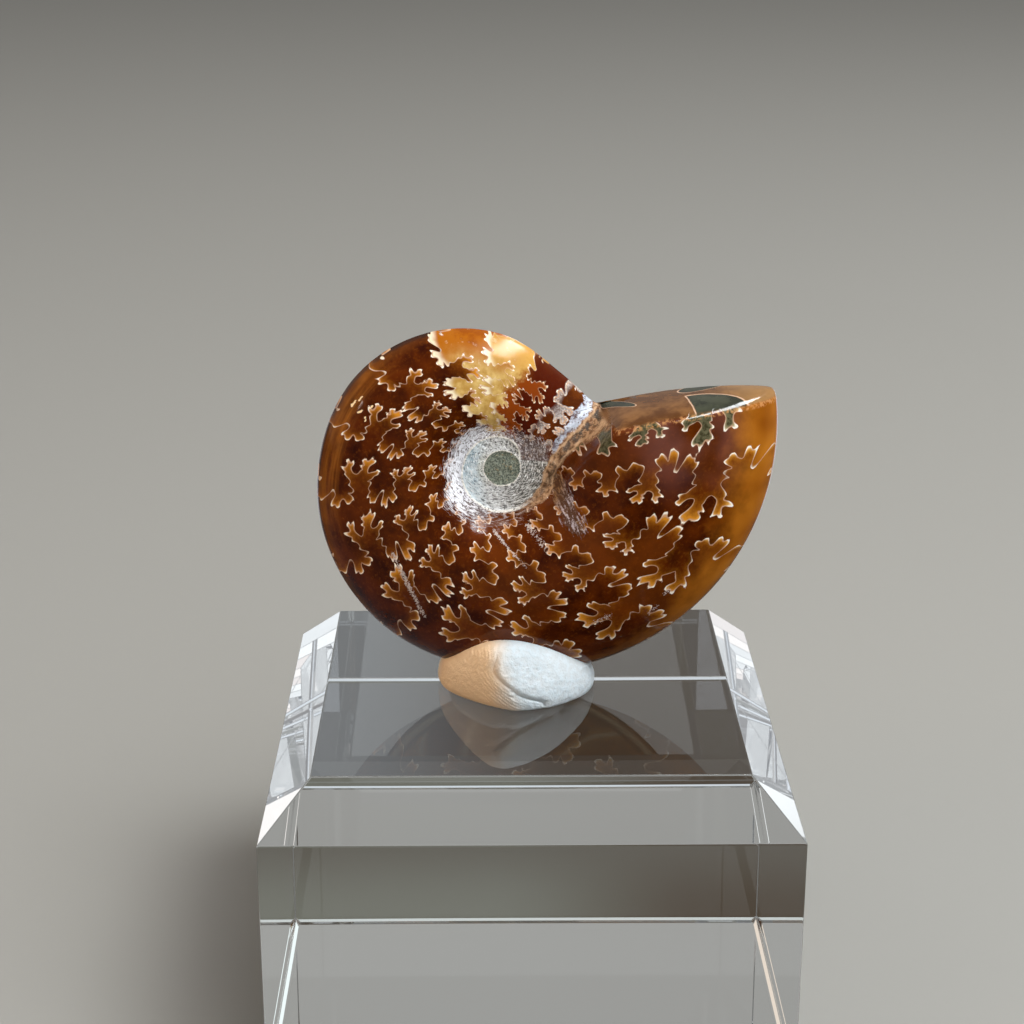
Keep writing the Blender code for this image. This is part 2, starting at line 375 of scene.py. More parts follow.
def distance_to_path(x, z, path):
    """Distance to the nearest point of a path, and how far along the path that point is."""
    best = np.full(np.shape(x), np.inf)
    along = np.zeros(np.shape(x))
    for place, (point_x, point_z) in zip(np.linspace(0.0, 1.0, len(path)), path):
        distance = np.hypot(x - point_x, z - point_z)
        nearer = distance < best
        best = np.where(nearer, distance, best)
        along = np.where(nearer, place, along)
    return best, along


seam_path = smooth_curve(SEAM_POINTS, np.linspace(1.0, len(SEAM_POINTS) - 2.0, SEAM_SAMPLES))
seam_length = np.hypot(*np.diff(seam_path, axis=0).T).sum()
print("seam under the lip, mm:", round(float(seam_length), 1))


# %% Relief of the dish
RIDGE_HEIGHT, RIDGE_WIDTH = 0.10, 0.12
SEAM_HEIGHT, SEAM_WIDTH = 0.28, 0.60
SEAM_LUMPS, SEAM_LUMP_SIZE = 0.7, 0.55
SEAM_FADE_IN, SEAM_FADE_OUT = 0.2, 0.88
CHALK_RADII = (4.6, 6.2)
GRAIN_HEIGHTS = (0.05, 0.03)
GRAIN_SIZES = (0.35, 0.17)


def ridge_distance(x, z):
    """Distance to the nearer of the two ridges in the dish."""
    radius, angle = np.hypot(x, z), np.arctan2(z, x)
    ring = np.abs(radius - radius_by_angle(RING_RADII, angle))
    turn = np.abs(radius - radius_by_angle(TURN_RADII, angle))
    return np.minimum(ring, turn)


def dish_relief(x, z):
    """Ridges and seam as bell curves of the distance to them, plus the grain of the chalk."""
    ridge = RIDGE_HEIGHT * np.exp(-((ridge_distance(x, z) / RIDGE_WIDTH) ** 2))
    from_seam, along = distance_to_path(x, z, seam_path)
    seam_crust = 1.0 + SEAM_LUMPS * bumps(x, z, SEAM_LUMP_SIZE)
    seam = SEAM_HEIGHT * np.exp(-((from_seam / SEAM_WIDTH) ** 2)) * seam_crust
    seam = seam * fade(along, 0.0, SEAM_FADE_IN) * fade(along, 1.0, SEAM_FADE_OUT)
    chalky = fade(np.hypot(x, z), CHALK_RADII[1], CHALK_RADII[0])
    coarse_grain = GRAIN_HEIGHTS[0] * bumps(x, z, GRAIN_SIZES[0])
    fine_grain = GRAIN_HEIGHTS[1] * bumps(z, x, GRAIN_SIZES[1])
    return ridge + seam + chalky * (coarse_grain + fine_grain)


print("highest relief along the seam, mm:", dish_relief(*seam_path.T).max().round(2))

# %% [markdown]
# ## The fine surface of the fossil
#
# The rings start as circles round the coil centre and turn slowly into copies of the
# outline, so that the last one is the outline itself. The back is a flat saw cut, and a
# short quarter round joins it to the flank, because a polished edge is never quite sharp.
# The rim is drawn in by two thousandths of a millimetre, so that this finer curve stays
# inside the box of the plain solid that it replaces.
# %% Loops in plan
OUTLINE_SAMPLES = 8000
RIM_INSET = 0.002
FLANK_COLUMNS = 760
INNER_CIRCLE = 9.5
INNER_TURN = math.radians(35.0)


def wrapped(angle):
    """The same angle between minus and plus half a turn."""
    return np.mod(angle + math.pi, 2.0 * math.pi) - math.pi


def even_outline_angles(count):
    """Angles that space the outline's points evenly, with one exactly in the notch."""
    notch_angle = math.atan2(NOTCH[1], NOTCH[0])
    sweep = np.linspace(0.0, 2.0 * math.pi, OUTLINE_SAMPLES)
    angle = wrapped(notch_angle + sweep)
    radius = outline_radius(angle)
    steps = np.hypot(np.diff(radius * np.cos(angle)), np.diff(radius * np.sin(angle)))
    length = np.concatenate(([0.0], np.cumsum(steps)))
    even_sweep = np.interp(np.arange(count) / count * length[-1], length, sweep)
    return wrapped(notch_angle + even_sweep)


def loops_in_plan(share):
    """Loops that blend from a circle to the outline as the share grows to 1, as x and z."""
    share = share[:, None]
    x = share * (circle_x + share * (outline_x - circle_x))
    z = share * (circle_z + share * (outline_z - circle_z))
    return x, z


outline_angles = even_outline_angles(FLANK_COLUMNS)
outline = outline_radius(outline_angles) - RIM_INSET
outline_x, outline_z = outline * np.cos(outline_angles), outline * np.sin(outline_angles)
even_turns = np.arange(FLANK_COLUMNS) / FLANK_COLUMNS
circle_angles = outline_angles[0] + INNER_TURN + 2.0 * math.pi * even_turns
circle_x, circle_z = INNER_CIRCLE * np.cos(circle_angles), INNER_CIRCLE * np.sin(circle_angles)
print("outline is", round(float(np.ptp(outline_x)), 1), "by", round(float(np.ptp(outline_z)), 1), "mm")

# %% Flank, edge and back
FLANK_RINGS = 112
RIM_CROWDING = 1.35
EDGE_ROUND = 0.25
EDGE_RINGS = 4
BACK_RINGS = 10
INNERMOST_SHARE = 0.02

flank_share = 1.0 - (1.0 - np.arange(1, FLANK_RINGS + 1) / FLANK_RINGS) ** RIM_CROWDING
flank_x, flank_z = loops_in_plan(flank_share)
flank_rise = np.maximum(shell_height(flank_x, flank_z) + dish_relief(flank_x, flank_z), EDGE_ROUND)
flank_rise[-1] = EDGE_ROUND

edge_turn = np.linspace(0.0, 0.5 * math.pi, EDGE_RINGS + 1)[1:]
edge_inset = EDGE_ROUND * (1.0 - np.cos(edge_turn)) / outline.mean()
edge_x, edge_z = loops_in_plan(1.0 - edge_inset)
edge_rise = np.repeat(EDGE_ROUND * (1.0 - np.sin(edge_turn))[:, None], FLANK_COLUMNS, axis=1)

back_share = np.linspace(1.0 - edge_inset[-1], INNERMOST_SHARE, BACK_RINGS + 1)[1:]
back_x, back_z = loops_in_plan(back_share)

fossil_x = np.concatenate((flank_x, edge_x, back_x))
fossil_z = np.concatenate((flank_z, edge_z, back_z))
fossil_rise = np.concatenate((flank_rise, edge_rise, np.zeros_like(back_x)))
fossil_rings = MM * np.stack(
    (COIL_CENTRE_X + fossil_x, CUT_FACE_Y - fossil_rise, COIL_CENTRE_Z + fossil_z), axis=-1
)
middle_rise = float(shell_height(np.zeros(1), np.zeros(1))[0])
fossil = skin(
    "fossil_half",
    fossil_rings,
    MM * np.array((COIL_CENTRE_X, CUT_FACE_Y - middle_rise, COIL_CENTRE_Z)),
    MM * np.array((COIL_CENTRE_X, CUT_FACE_Y, COIL_CENTRE_Z)),
)

# %% [markdown]
# ## Sutures
#
# Inside, the shell was divided by walls. Where a wall met the shell it was folded like a
# leaf's edge, and polishing has laid that line bare: the suture. Its folds towards the
# opening are saddles and those away from it are lobes. Each is drawn here as a small
# outline, across its width and forward to its tips, in shares of the fold's size. A painted
# image could carry the pattern, but a line worked out from folds keeps its crisp edge at any
# distance and grows with the shell as the real one does.
# %% Outlines of the folds
SADDLE = (
    (0.55, -0.04), (0.67, 0.20), (0.55, 0.28), (0.66, 0.38), (0.72, 0.52), (0.57, 0.50),
    (0.61, 0.71), (0.50, 0.66), (0.41, 0.76), (0.28, 0.62), (0.15, 0.42), (0.04, 0.26),
    (-0.05, 0.34), (-0.03, 0.52), (0.07, 0.78), (0.08, 0.93), (-0.03, 0.85), (-0.09, 1.00),
    (-0.19, 0.97), (-0.23, 0.79), (-0.29, 0.64), (-0.38, 0.74), (-0.46, 0.91), (-0.56, 0.88),
    (-0.60, 0.77), (-0.72, 0.73), (-0.67, 0.58), (-0.49, 0.43), (-0.66, 0.38), (-0.68, 0.27),
    (-0.54, 0.10),
)
LOBE = (
    (0.45, -0.02), (0.37, 0.06), (0.47, 0.18), (0.60, 0.30), (0.56, 0.38), (0.72, 0.46),
    (0.82, 0.58), (0.60, 0.55), (0.59, 0.68), (0.66, 0.77), (0.57, 0.84), (0.48, 0.74),
    (0.35, 0.82), (0.33, 0.70), (0.38, 0.55), (0.33, 0.42), (0.20, 0.32), (0.08, 0.38),
    (0.05, 0.50), (-0.03, 0.55), (0.11, 0.69), (-0.05, 0.68), (0.05, 0.83), (0.06, 0.91),
    (-0.02, 0.90), (-0.08, 1.00), (-0.17, 0.86), (-0.30, 0.98), (-0.38, 1.10), (-0.42, 0.90),
    (-0.53, 0.96), (-0.55, 0.84), (-0.36, 0.66), (-0.25, 0.54), (-0.30, 0.42), (-0.42, 0.42),
    (-0.57, 0.48), (-0.68, 0.58), (-0.83, 0.50), (-0.71, 0.41), (-0.77, 0.33), (-0.55, 0.27),
    (-0.47, 0.16), (-0.30, 0.06),
)
print("large saddle and lobe:", len(SADDLE), "and", len(LOBE), "points")

# %% Outlines of the small folds
SMALL_SADDLE = (
    (0.70, -0.03), (0.45, 0.08), (0.55, 0.26), (0.66, 0.44), (0.70, 0.78), (0.45, 0.86),
    (0.23, 1.00), (0.08, 0.80), (-0.07, 0.56), (-0.28, 0.70), (-0.50, 0.88), (-0.66, 0.62),
    (-0.56, 0.44), (-0.43, 0.28), (-0.55, 0.06),
)
SMALL_LOBE = (
    (0.40, 0.12), (0.55, 0.30), (0.68, 0.50), (0.40, 0.44), (0.16, 0.44), (0.12, 0.62),
    (0.20, 0.82), (-0.02, 1.00), (-0.14, 0.84), (-0.25, 0.70), (-0.42, 0.82), (-0.62, 0.80),
    (-0.54, 0.58), (-0.32, 0.26), (-0.50, 0.05),
)
print("small saddle and lobe:", len(SMALL_SADDLE), "and", len(SMALL_LOBE), "points")

# %% [markdown]
# One suture is those outlines in a row, from the rim inwards: saddle, lobe, saddle, and so
# on, each a little narrower than the last. Along the rim it is measured by whorl angle, and
# towards the centre by the logarithm of the radius, since on a spiral those two make equal
# steps and a shape keeps its form as it shrinks. The next suture is the same line one
# chamber further back, with its points moved a little at random.
# %% Paths of the sutures
SUTURE_COUNT = 18
FIRST_SUTURE = -1
LAST_FULL_SUTURE = math.radians(360.5)
CHAMBER_ANGLE = math.radians(24.2)
FOLDS = 12
FINE_FOLDS = 4
FOLD_START, FOLD_STEP, FOLD_SHRINK = 0.11, 0.19, 0.0035
FOLD_HEIGHTS = (0.14, 0.215, 0.235, 0.16, 0.155, 0.155, 0.13, 0.155, 0.13, 0.14, 0.12, 0.12)
LEAN = math.radians(-3.5)
INNER_LEAN = math.radians(-6.0)
INNER_LEAN_START, INNER_LEAN_SPAN = 0.8, 0.6
RIM_START = ((-6.0, 0.06), (-6.0, 0.02), (-8.0, -0.005), (-3.0, -0.012), (-4.5, -0.03))
POINT_WANDER = 0.03
SIZE_WANDER = 0.10
PATH_STEPS = 10


def fold_place(fold):
    """Middle of a fold, as the logarithm of its share of the rim radius: a quadratic."""
    return -(FOLD_START + FOLD_STEP * fold - FOLD_SHRINK * fold * fold)


def suture_path(number, chance):
    """Points (whorl angle, logarithm of the share) of one suture, from the rim inwards.

    Every fold is its outline, shrunk to the fold's width and height, shifted to its place
    and wavering a little. RIM_START has its angles in degrees.
    """
    parts = [np.array(RIM_START) * (math.radians(1.0), 1.0)]
    for fold in range(FOLDS):
        pair = (SADDLE, LOBE) if fold < FINE_FOLDS else (SMALL_SADDLE, SMALL_LOBE)
        outline_points = np.array(pair[fold % 2])
        place = fold_place(fold)
        half_width = 0.5 * (fold_place(fold - 1) - fold_place(fold + 1))
        forward = FOLD_HEIGHTS[fold] * (1.0 - 2.0 * (fold % 2))
        forward *= 1.0 + SIZE_WANDER * chance.uniform(-1.0, 1.0)
        outline_points += POINT_WANDER * chance.uniform(-1.0, 1.0, outline_points.shape)
        shift = SIZE_WANDER * chance.uniform(-1.0, 1.0)
        lean = LEAN + INNER_LEAN * max(0.0, -place - INNER_LEAN_START) / INNER_LEAN_SPAN
        parts.append(np.column_stack((
            lean + forward * outline_points[:, 1],
            place + half_width * (outline_points[:, 0] + shift),
        )))
    points = np.concatenate(parts)
    points[:, 0] += LAST_FULL_SUTURE - CHAMBER_ANGLE * number
    before_first = 2.0 * points[:1] - points[1:2]
    after_last = 2.0 * points[-1:] - points[-2:-1]
    points = np.concatenate((before_first, points, after_last))
    places = 1.0 + np.arange(PATH_STEPS * (len(points) - 3) + 1) / PATH_STEPS
    return smooth_curve(np.concatenate((points, points[-1:])), places)


chance = np.random.default_rng(3)
sutures = [suture_path(number, chance) for number in range(FIRST_SUTURE, SUTURE_COUNT - 1)]
print("sutures:", len(sutures), "with", len(sutures[0]), "points each")

# %% [markdown]
# ## From lines to measures
#
# A material can't ask how far a point is from a line, so that is worked out beforehand on a
# square grid over the unrolled shell. Three things are kept for every cell: the number of
# its chamber, how far the nearest suture is, and the average of the chambers' numbers round
# about, once over a wide area and once close by. The wide average tells a narrow leaf from
# open ground: round a leaf's tip most places belong to the neighbouring chamber.
# %% Grid over the unrolled shell
CELL = 0.004
FIELD_ANGLES = (math.radians(-20.0), math.radians(400.0))
FIELD_SHARES = (-1.75, 0.03)
REACH_CELLS = 8
POINT_SPACING = 0.5

columns = int((FIELD_ANGLES[1] - FIELD_ANGLES[0]) / CELL) + 1
rows = int((FIELD_SHARES[1] - FIELD_SHARES[0]) / CELL) + 1
print("grid of", rows, "by", columns, "cells")


# %% [markdown]
# Counting is quick on a grid: each suture adds one where it crosses a row, and a running sum
# along the row carries that one on to every cell ahead. Distances are measured only a few
# cells out, because the finish needs them only close to a line.
# %% Chambers and distances
def even_cells(path):
    """A path in cells, (column, row), with points POINT_SPACING cells apart."""
    place = (path - (FIELD_ANGLES[0], FIELD_SHARES[0])) / CELL
    steps = np.hypot(*np.diff(place, axis=0).T)
    length = np.concatenate(([0.0], np.cumsum(steps)))
    even = np.arange(0.0, length[-1], POINT_SPACING)
    return np.column_stack([np.interp(even, length, place[:, axis]) for axis in (0, 1)])


def chambers_behind(paths):
    """How many sutures lie behind each cell: every path adds one to all cells ahead of it."""
    crossings = np.zeros((rows, columns + 1), np.int32)
    for path in paths:
        row = np.floor(path[:, 1]).astype(int)
        step = np.diff(row)
        at = np.nonzero(step)[0]
        crossed = np.maximum(row[at], row[at + 1])
        column = np.clip(np.ceil(0.5 * (path[at, 0] + path[at + 1, 0])).astype(int), 0, columns)
        inside = (crossed >= 0) & (crossed < rows)
        np.add.at(crossings, (crossed[inside], column[inside]), -step[at][inside])
    return np.cumsum(crossings, axis=1)[:, :columns]


def distance_to_paths(paths):
    """Distance to the nearest suture in cells, up to REACH_CELLS."""
    nearest = np.full((rows, columns), float(REACH_CELLS))
    points = np.concatenate(paths)
    middle = np.rint(points).astype(int)
    around = range(-REACH_CELLS, REACH_CELLS + 1)
    for shift in ((across, up) for across in around for up in around):
        cell = middle + shift
        inside = ((cell >= 0) & (cell < (columns, rows))).all(axis=1)
        distance = np.hypot(*(cell - points)[inside].T)
        np.minimum.at(nearest, (cell[inside, 1], cell[inside, 0]), distance)
    return nearest


paths = [even_cells(path) for path in sutures]
chamber = chambers_behind(paths).astype(float)
side = 2.0 * np.mod(chamber, 2.0) - 1.0
signed_distance = side * distance_to_paths(paths) * CELL
print("chambers:", int(chamber.max()))

# %% [markdown]
# An average over an area would be slow cell by cell. A square average is the difference of
# two running sums, and three of them in a row are nearly as soft as a round one.
# %% Averages round every cell
WIDE_SPREAD = (0.19, 0.11)
NARROW_SPREAD = (0.022, 0.022)
SQUARES_PER_RADIUS = 1.7


def spread(field, radii):
    """Average over a soft oval area: three square averages in a row, by running sums."""
    for axis in (0, 1) * 3:
        width = max(1, round(radii[axis] / CELL / SQUARES_PER_RADIUS))
        span = 2 * width + 1
        field = np.moveaxis(field, axis, 0)
        low_edge = np.repeat(field[:1], width, axis=0)
        high_edge = np.repeat(field[-1:], width, axis=0)
        padded = np.concatenate((np.zeros_like(field[:1]), low_edge, field, high_edge))
        total = np.cumsum(padded, axis=0)
        field = np.moveaxis((total[span:] - total[:-span]) / span, 0, axis)
    return field


wide_count = spread(chamber, WIDE_SPREAD)
narrow_count = spread(chamber, NARROW_SPREAD)
print("cells inside a narrow leaf:", int((np.abs(chamber - wide_count) > 0.6).sum()))

# %% [markdown]
# Every point of the fossil's mesh now looks itself up in the grid, by its whorl angle and the
# logarithm of its share of the rim radius. The last two points are the poles that close the
# mesh at the coil's middle, in front and behind.
# %% Read the grid at the fossil's points
LAST_CELL = 1.001
POLE_OFFSET = 0.01
SMALLEST_SHARE = 0.01


def read_grid(field, whorl_angle, log_share):
    """Value between four cells, weighed by how near each is."""
    column = np.clip((whorl_angle - FIELD_ANGLES[0]) / CELL, 0.0, columns - LAST_CELL)
    row = np.clip((log_share - FIELD_SHARES[0]) / CELL, 0.0, rows - LAST_CELL)
    left, low = column.astype(int), row.astype(int)
    across, up = column - left, row - low
    below = field[low, left] * (1.0 - across) + field[low, left + 1] * across
    above = field[low + 1, left] * (1.0 - across) + field[low + 1, left + 1] * across
    return below * (1.0 - up) + above * up


plan_x = np.concatenate((fossil_x.ravel(), [POLE_OFFSET, POLE_OFFSET]))
plan_z = np.concatenate((fossil_z.ravel(), [0.0, 0.0]))
first_back_point = (FLANK_RINGS + EDGE_RINGS - 1) * FLANK_COLUMNS
on_back = np.zeros(len(plan_x))
on_back[first_back_point:-2] = 1.0
on_back[-1] = 1.0

radius = np.hypot(plan_x, plan_z)
turn = whorl_angle_at(plan_x, plan_z)
share = radius / rim_radius(turn)
log_share = np.log(np.maximum(share, SMALLEST_SHARE))
suture_distance = read_grid(signed_distance, turn, log_share) * radius
wide = read_grid(wide_count, turn, log_share)
narrow = read_grid(narrow_count, turn, log_share)
seam_distance, seam_place = distance_to_path(plan_x, plan_z, seam_path)
print("flank points within 0.1 mm of a suture:", int((np.abs(suture_distance) < 0.1).sum()))

# %% [markdown]
# ## Zones that a material can read
#
# Some finishes belong to a place: the speckled plug in the coil's middle, the frosted ring
# round it, the tan crust along the lip, the pearly patch in the notch. They could be painted
# by hand on the mesh. Soft masks worked out from distances do the same, and fine noise in
# the material later breaks up their edges.
# %% Middle of the coil
FROST_REACH = (4.9, 4.8, 3.6, 3.1, 4.3, 4.9, 6.0, 5.5, 4.9, 4.8, 3.6)
FROST_FADE = 1.2

direction = np.arctan2(plan_z, plan_x)
from_plug = radius - radius_by_angle(RING_RADII, direction)
from_turn = radius - radius_by_angle(TURN_RADII, direction)
frost = (radius_by_angle(FROST_REACH, direction) - radius) / FROST_FADE
print("points inside the plug:", int((from_plug < 0.0).sum()))

# %% [markdown]
# The pearly patch lies on the earlier whorl, along the upper part of the lip, and the leaves
# round it are greyer than elsewhere. Both are measured by two numbers: the distance from the
# lip, and the share of the way from the lip's start to the notch.
# %% Pearly patch beside the lip
NACRE_WIDTHS = (2.0, 2.5)
NACRE_FADE = 0.9
NACRE_START, NACRE_FULL = 0.18, 0.43
NACRE_LAST, NACRE_END = 1.15, 1.35

lip_run_x, lip_run_z = NOTCH[0] - LIP_START[0], NOTCH[1] - LIP_START[1]
lip_square = lip_run_x ** 2 + lip_run_z ** 2
from_start_x, from_start_z = plan_x - LIP_START[0], plan_z - LIP_START[1]
along_lip = (from_start_x * lip_run_x + from_start_z * lip_run_z) / lip_square
lip = lip_distance(plan_x, plan_z)

nacre_width = NACRE_WIDTHS[0] + (NACRE_WIDTHS[1] - NACRE_WIDTHS[0]) * along_lip
in_nacre = fade(lip, -nacre_width, NACRE_FADE - nacre_width) * fade(lip, 0.4, 0.0)
in_nacre = in_nacre * fade(along_lip, NACRE_START, NACRE_FULL)
in_nacre = in_nacre * fade(along_lip, NACRE_END, NACRE_LAST)
beside_nacre = fade(lip, -5.0, -3.4) * fade(lip, 0.3, -0.1) * fade(along_lip, 0.0, 0.25)
print("points in the pearly patch:", int((in_nacre > 0.5).sum()))

# %% [markdown]
# A few marks lie along short straight lines: the dull fan at the dish's lower right, pale
# veins in the flank, and five painted glints, small highlights laid into the colour. A vein
# or a glint is a bell curve of the distance to its line, so its row holds two ends, and a
# vein's row also its width and its strength.
# %% Dull fan, veins and painted glints
DULL_LINE = ((5.3, -1.9), (7.3, -5.6))
DULL_WIDTH = 1.6
VEINS = (
    ((-10.4, -8.6), (-7.4, -15.3), 0.40, 0.80),
    ((-0.6, -6.5), (2.5, -9.6), 0.30, 0.72),
    ((8.6, -15.9), (10.6, -15.0), 0.8, 0.62),
    ((14.6, -15.0), (15.4, -14.2), 0.5, 0.78),
    ((16.0, -12.9), (16.4, -12.4), 0.35, 0.85),
    ((2.8, -6.0), (4.6, -8.0), 0.7, 0.62),
    ((-8.2, 3.4), (-7.4, -1.4), 0.8, 0.33),
)
# The glints are painted highlights: pale marks in the colour, not mirror images of a lamp.
PAINTED_GLINT_WIDTH = 0.11
PAINTED_GLINTS = (
    ((-14.2, 5.4), (-13.8, 6.0)), ((-13.5, 6.0), (-13.2, 6.4)), ((-13.6, 4.9), (-13.1, 5.2)),
    ((-12.9, 4.2), (-12.8, 4.6)), ((-12.4, 5.5), (-12.2, 5.7)),
)


def distance_to_segment(x, z, start, end):
    """Distance to a straight line between two places: to the foot, held between the ends."""
    run_x, run_z = end[0] - start[0], end[1] - start[1]
    along = ((x - start[0]) * run_x + (z - start[1]) * run_z) / (run_x ** 2 + run_z ** 2)
    along = np.clip(along, 0.0, 1.0)
    return np.hypot(x - start[0] - along * run_x, z - start[1] - along * run_z)


def strokes(rows):
    """The strongest of many short strokes: strength times exp(-(distance / width)^2)."""
    strongest = np.zeros(len(plan_x))
    for start, end, width, strength in rows:
        away = distance_to_segment(plan_x, plan_z, start, end) / width
        strongest = np.maximum(strongest, strength * np.exp(-(away ** 2)))
    return strongest


dull = fade(distance_to_segment(plan_x, plan_z, *DULL_LINE), DULL_WIDTH, 0.0)
fleck = strokes(VEINS)
glint = strokes([(start, end, PAINTED_GLINT_WIDTH, 1.0) for start, end in PAINTED_GLINTS])
print("points in the dull fan:", int((dull > 0.5).sum()))

# %% Store every measure on the mesh
flank_measures = {
    "suture": suture_distance,
    "wide": wide,
    "narrow": narrow,
    "turn": turn,
    "share": share,
    "plug": from_plug,
    "coil": from_turn,
    "frost": frost,
    "crust": seam_distance,
    "crust_place": seam_place,
    "nacre": in_nacre,
    "beside_nacre": beside_nacre,
    "dull": dull,
    "fleck": fleck,
    "glint": glint,
    "back": on_back,
    "sawn": end_distance(plan_x, plan_z),
}
for measure, values in flank_measures.items():
    add_measure(fossil, measure, values)
print("measures on the fossil:", ", ".join(flank_measures))

# %% [markdown]
# ## Writing a finish as sums
#
# A material is a tree of nodes. Joining them by hand takes a dozen lines for one formula, so
# two small classes keep it readable. A Number wraps one output and turns sums on it into
# Math nodes. A Finish owns a material and adds every other node by one method, which takes
# the node's type, its settings, and what goes into its sockets.
# %% Numbers
class Number:
    """One number that changes over a surface: an output socket that can be used in sums."""

    def __init__(self, tree, socket):
        self.tree = tree
        self.socket = socket

    def maths(self, operation, *values, clamp=False):
        """A Math node with the given operation on the given values."""
        node = self.tree.nodes.new("ShaderNodeMath")
        node.operation = operation
        node.use_clamp = clamp
        for slot_in, value in zip(node.inputs, values):
            if isinstance(value, Number):
                self.tree.links.new(value.socket, slot_in)
            else:
                slot_in.default_value = value
        return Number(self.tree, node.outputs[0])

    def __add__(self, other):
        return self.maths("ADD", self, other)

    def __radd__(self, other):
        return self.maths("ADD", other, self)

    def __sub__(self, other):
        return self.maths("SUBTRACT", self, other)

    def __rsub__(self, other):
        return self.maths("SUBTRACT", other, self)

    def __mul__(self, other):
        return self.maths("MULTIPLY", self, other)

    def __rmul__(self, other):
        return self.maths("MULTIPLY", other, self)

    def __truediv__(self, other):
        return self.maths("DIVIDE", self, other)

    def __pow__(self, other):
        return self.maths("POWER", self, other)

    def __abs__(self):
        return self.maths("ABSOLUTE", self)

    def __gt__(self, other):
        return self.maths("GREATER_THAN", self, other)

    def __lt__(self, other):
        return self.maths("LESS_THAN", self, other)

    def clamped(self):
        return self.maths("ADD", self, 0.0, clamp=True)

    def rounded(self):
        return self.maths("ROUND", self)

    def at_most(self, other):
        return self.maths("MINIMUM", self, other)

    def at_least(self, other):
        return self.maths("MAXIMUM", self, other)


print("sums on sockets are ready")


# %% Finishes
def shade(red, green, blue):
    """A colour as it shows on a screen, 0 to 255, turned into the linear values of a shader."""
    parts = [value / 255.0 for value in (red, green, blue)]
    linear = [part / 12.92 if part <= 0.04045 else ((part + 0.055) / 1.055) ** 2.4 for part in parts]
    return (*linear, 1.0)


class Finish:
    """A material with one Principled shader and short ways to build what goes into it."""

    def __init__(self, name, **settings):
        self.material = bpy.data.materials.new(name)
        self.material.use_nodes = True
        self.tree = self.material.node_tree
        self.shader = self.tree.nodes["Principled BSDF"]
        self.place = self.node("ShaderNodeTexCoord", output="Object")
        self.set(settings)

    def set(self, values):
        """Puts values or links into the shader's sockets; an underscore stands for a space."""
        for socket, value in values.items():
            self.fill(self.shader.inputs[socket.replace("_", " ")], value)

    def fill(self, socket, value):
        """Links a Number to a socket, or sets the socket to a plain value."""
        if isinstance(value, Number):
            self.tree.links.new(value.socket, socket)
        else:
            socket.default_value = value

    def node(self, kind, settings=None, inputs=None, output=0):
        """Adds a node: its settings first, then its sockets' values or links."""
        node = self.tree.nodes.new(kind)
        for setting, value in (settings or {}).items():
            setattr(node, setting, value)
        for socket, value in (inputs or {}).items():
            self.fill(node.inputs[socket], value)
        return Number(self.tree, node.outputs[output])

    def measure(self, name):
        """A number stored on the mesh's points."""
        return self.node("ShaderNodeAttribute", {"attribute_name": name}, output="Fac")

    def noise(self, size, detail=2.0, roughness=0.5, place=None, distortion=0.0):
        """Soft random numbers around 0.5, with spots of about the given size in metres."""
        inputs = {
            "Vector": place or self.place, "Scale": 1.0 / size, "Detail": detail,
            "Roughness": roughness, "Distortion": distortion,
        }
        return self.node("ShaderNodeTexNoise", None, inputs)

    def ramp(self, value, start, end):
        """0 where the value is at start, 1 where it is at end, smooth in between."""
        settings = {"interpolation_type": "SMOOTHSTEP"}
        inputs = {"Value": value, "From Min": start, "From Max": end}
        if start > end:
            inputs = {"Value": value, "From Min": end, "From Max": start, "To Min": 1.0, "To Max": 0.0}
        return self.node("ShaderNodeMapRange", settings, inputs)

    def mix(self, factor, first, second):
        """One colour over another, by a factor from 0 to 1."""
        settings = {"data_type": "RGBA", "clamp_factor": True}
        return self.node("ShaderNodeMix", settings, {0: factor, 6: first, 7: second}, output=2)

    def axes(self):
        """The three coordinates of a place on the piece as numbers, in metres."""
        node = self.tree.nodes.new("ShaderNodeSeparateXYZ")
        self.tree.links.new(self.place.socket, node.inputs[0])
        return [Number(self.tree, socket) for socket in node.outputs]

    def point(self, x, y, z):
        """A place put together from three numbers, for noise that is stretched or bent."""
        return self.node("ShaderNodeCombineXYZ", None, {0: x, 1: y, 2: z})

    def random(self, value):
        """A random number that stays the same for the same whole number."""
        return self.node("ShaderNodeTexWhiteNoise", {"noise_dimensions": "1D"}, {"W": value})

    def bump(self, height, depth, strength=1.0, below=None):
        """Small relief: height is 0 to 1 and depth is its size in metres."""
        inputs = {"Height": height, "Distance": depth, "Strength": strength}
        if below:
            inputs["Normal"] = below
        return self.node("ShaderNodeBump", None, inputs)

    def tell(self, step):
        """Prints how many nodes the finish has after a step."""
        print(f"{self.material.name}, {step}: {len(self.tree.nodes)} nodes")


print("white as a shader sees it:", shade(255, 255, 255))

# %% [markdown]
# ## Polished ammonite
#
# The chambers are filled with clear brown calcite, so light goes in a little way and the
# stone glows amber where it is thin, near the rim. It could be real see-through stone, but
# the light in it would then blur the sutures, which lie right at the surface. So the depth
# is told by colour: dark brown in the thick middle, gold where the folds come near the
# surface, amber at the margin, and a hard clear gloss over everything.
#
# First comes the number of the chamber at every place. The side of the suture says only
# whether it is odd or even, and the average close by says which odd or even number it is.
# A leaf is where that number is far from the wide average, and a leaf's tip is where it is
# far from the close one too.
# %% Which chamber, and how deep in a fold
stone = Finish("polished_ammonite", IOR=1.54, Specular_IOR_Level=0.24)
suture = stone.measure("suture")
wide_number = stone.measure("wide")
turn_number = stone.measure("turn")
share_number = stone.measure("share")
x_number, y_number, z_number = stone.axes()

narrow_number = stone.measure("narrow")
odd = suture > 0.0
chamber_number = ((narrow_number - odd) / 2.0).rounded() * 2.0 + odd
leaf = chamber_number - wide_number
tip = chamber_number - narrow_number
chance_of_chamber = stone.random(chamber_number)
stone.tell("chambers counted")

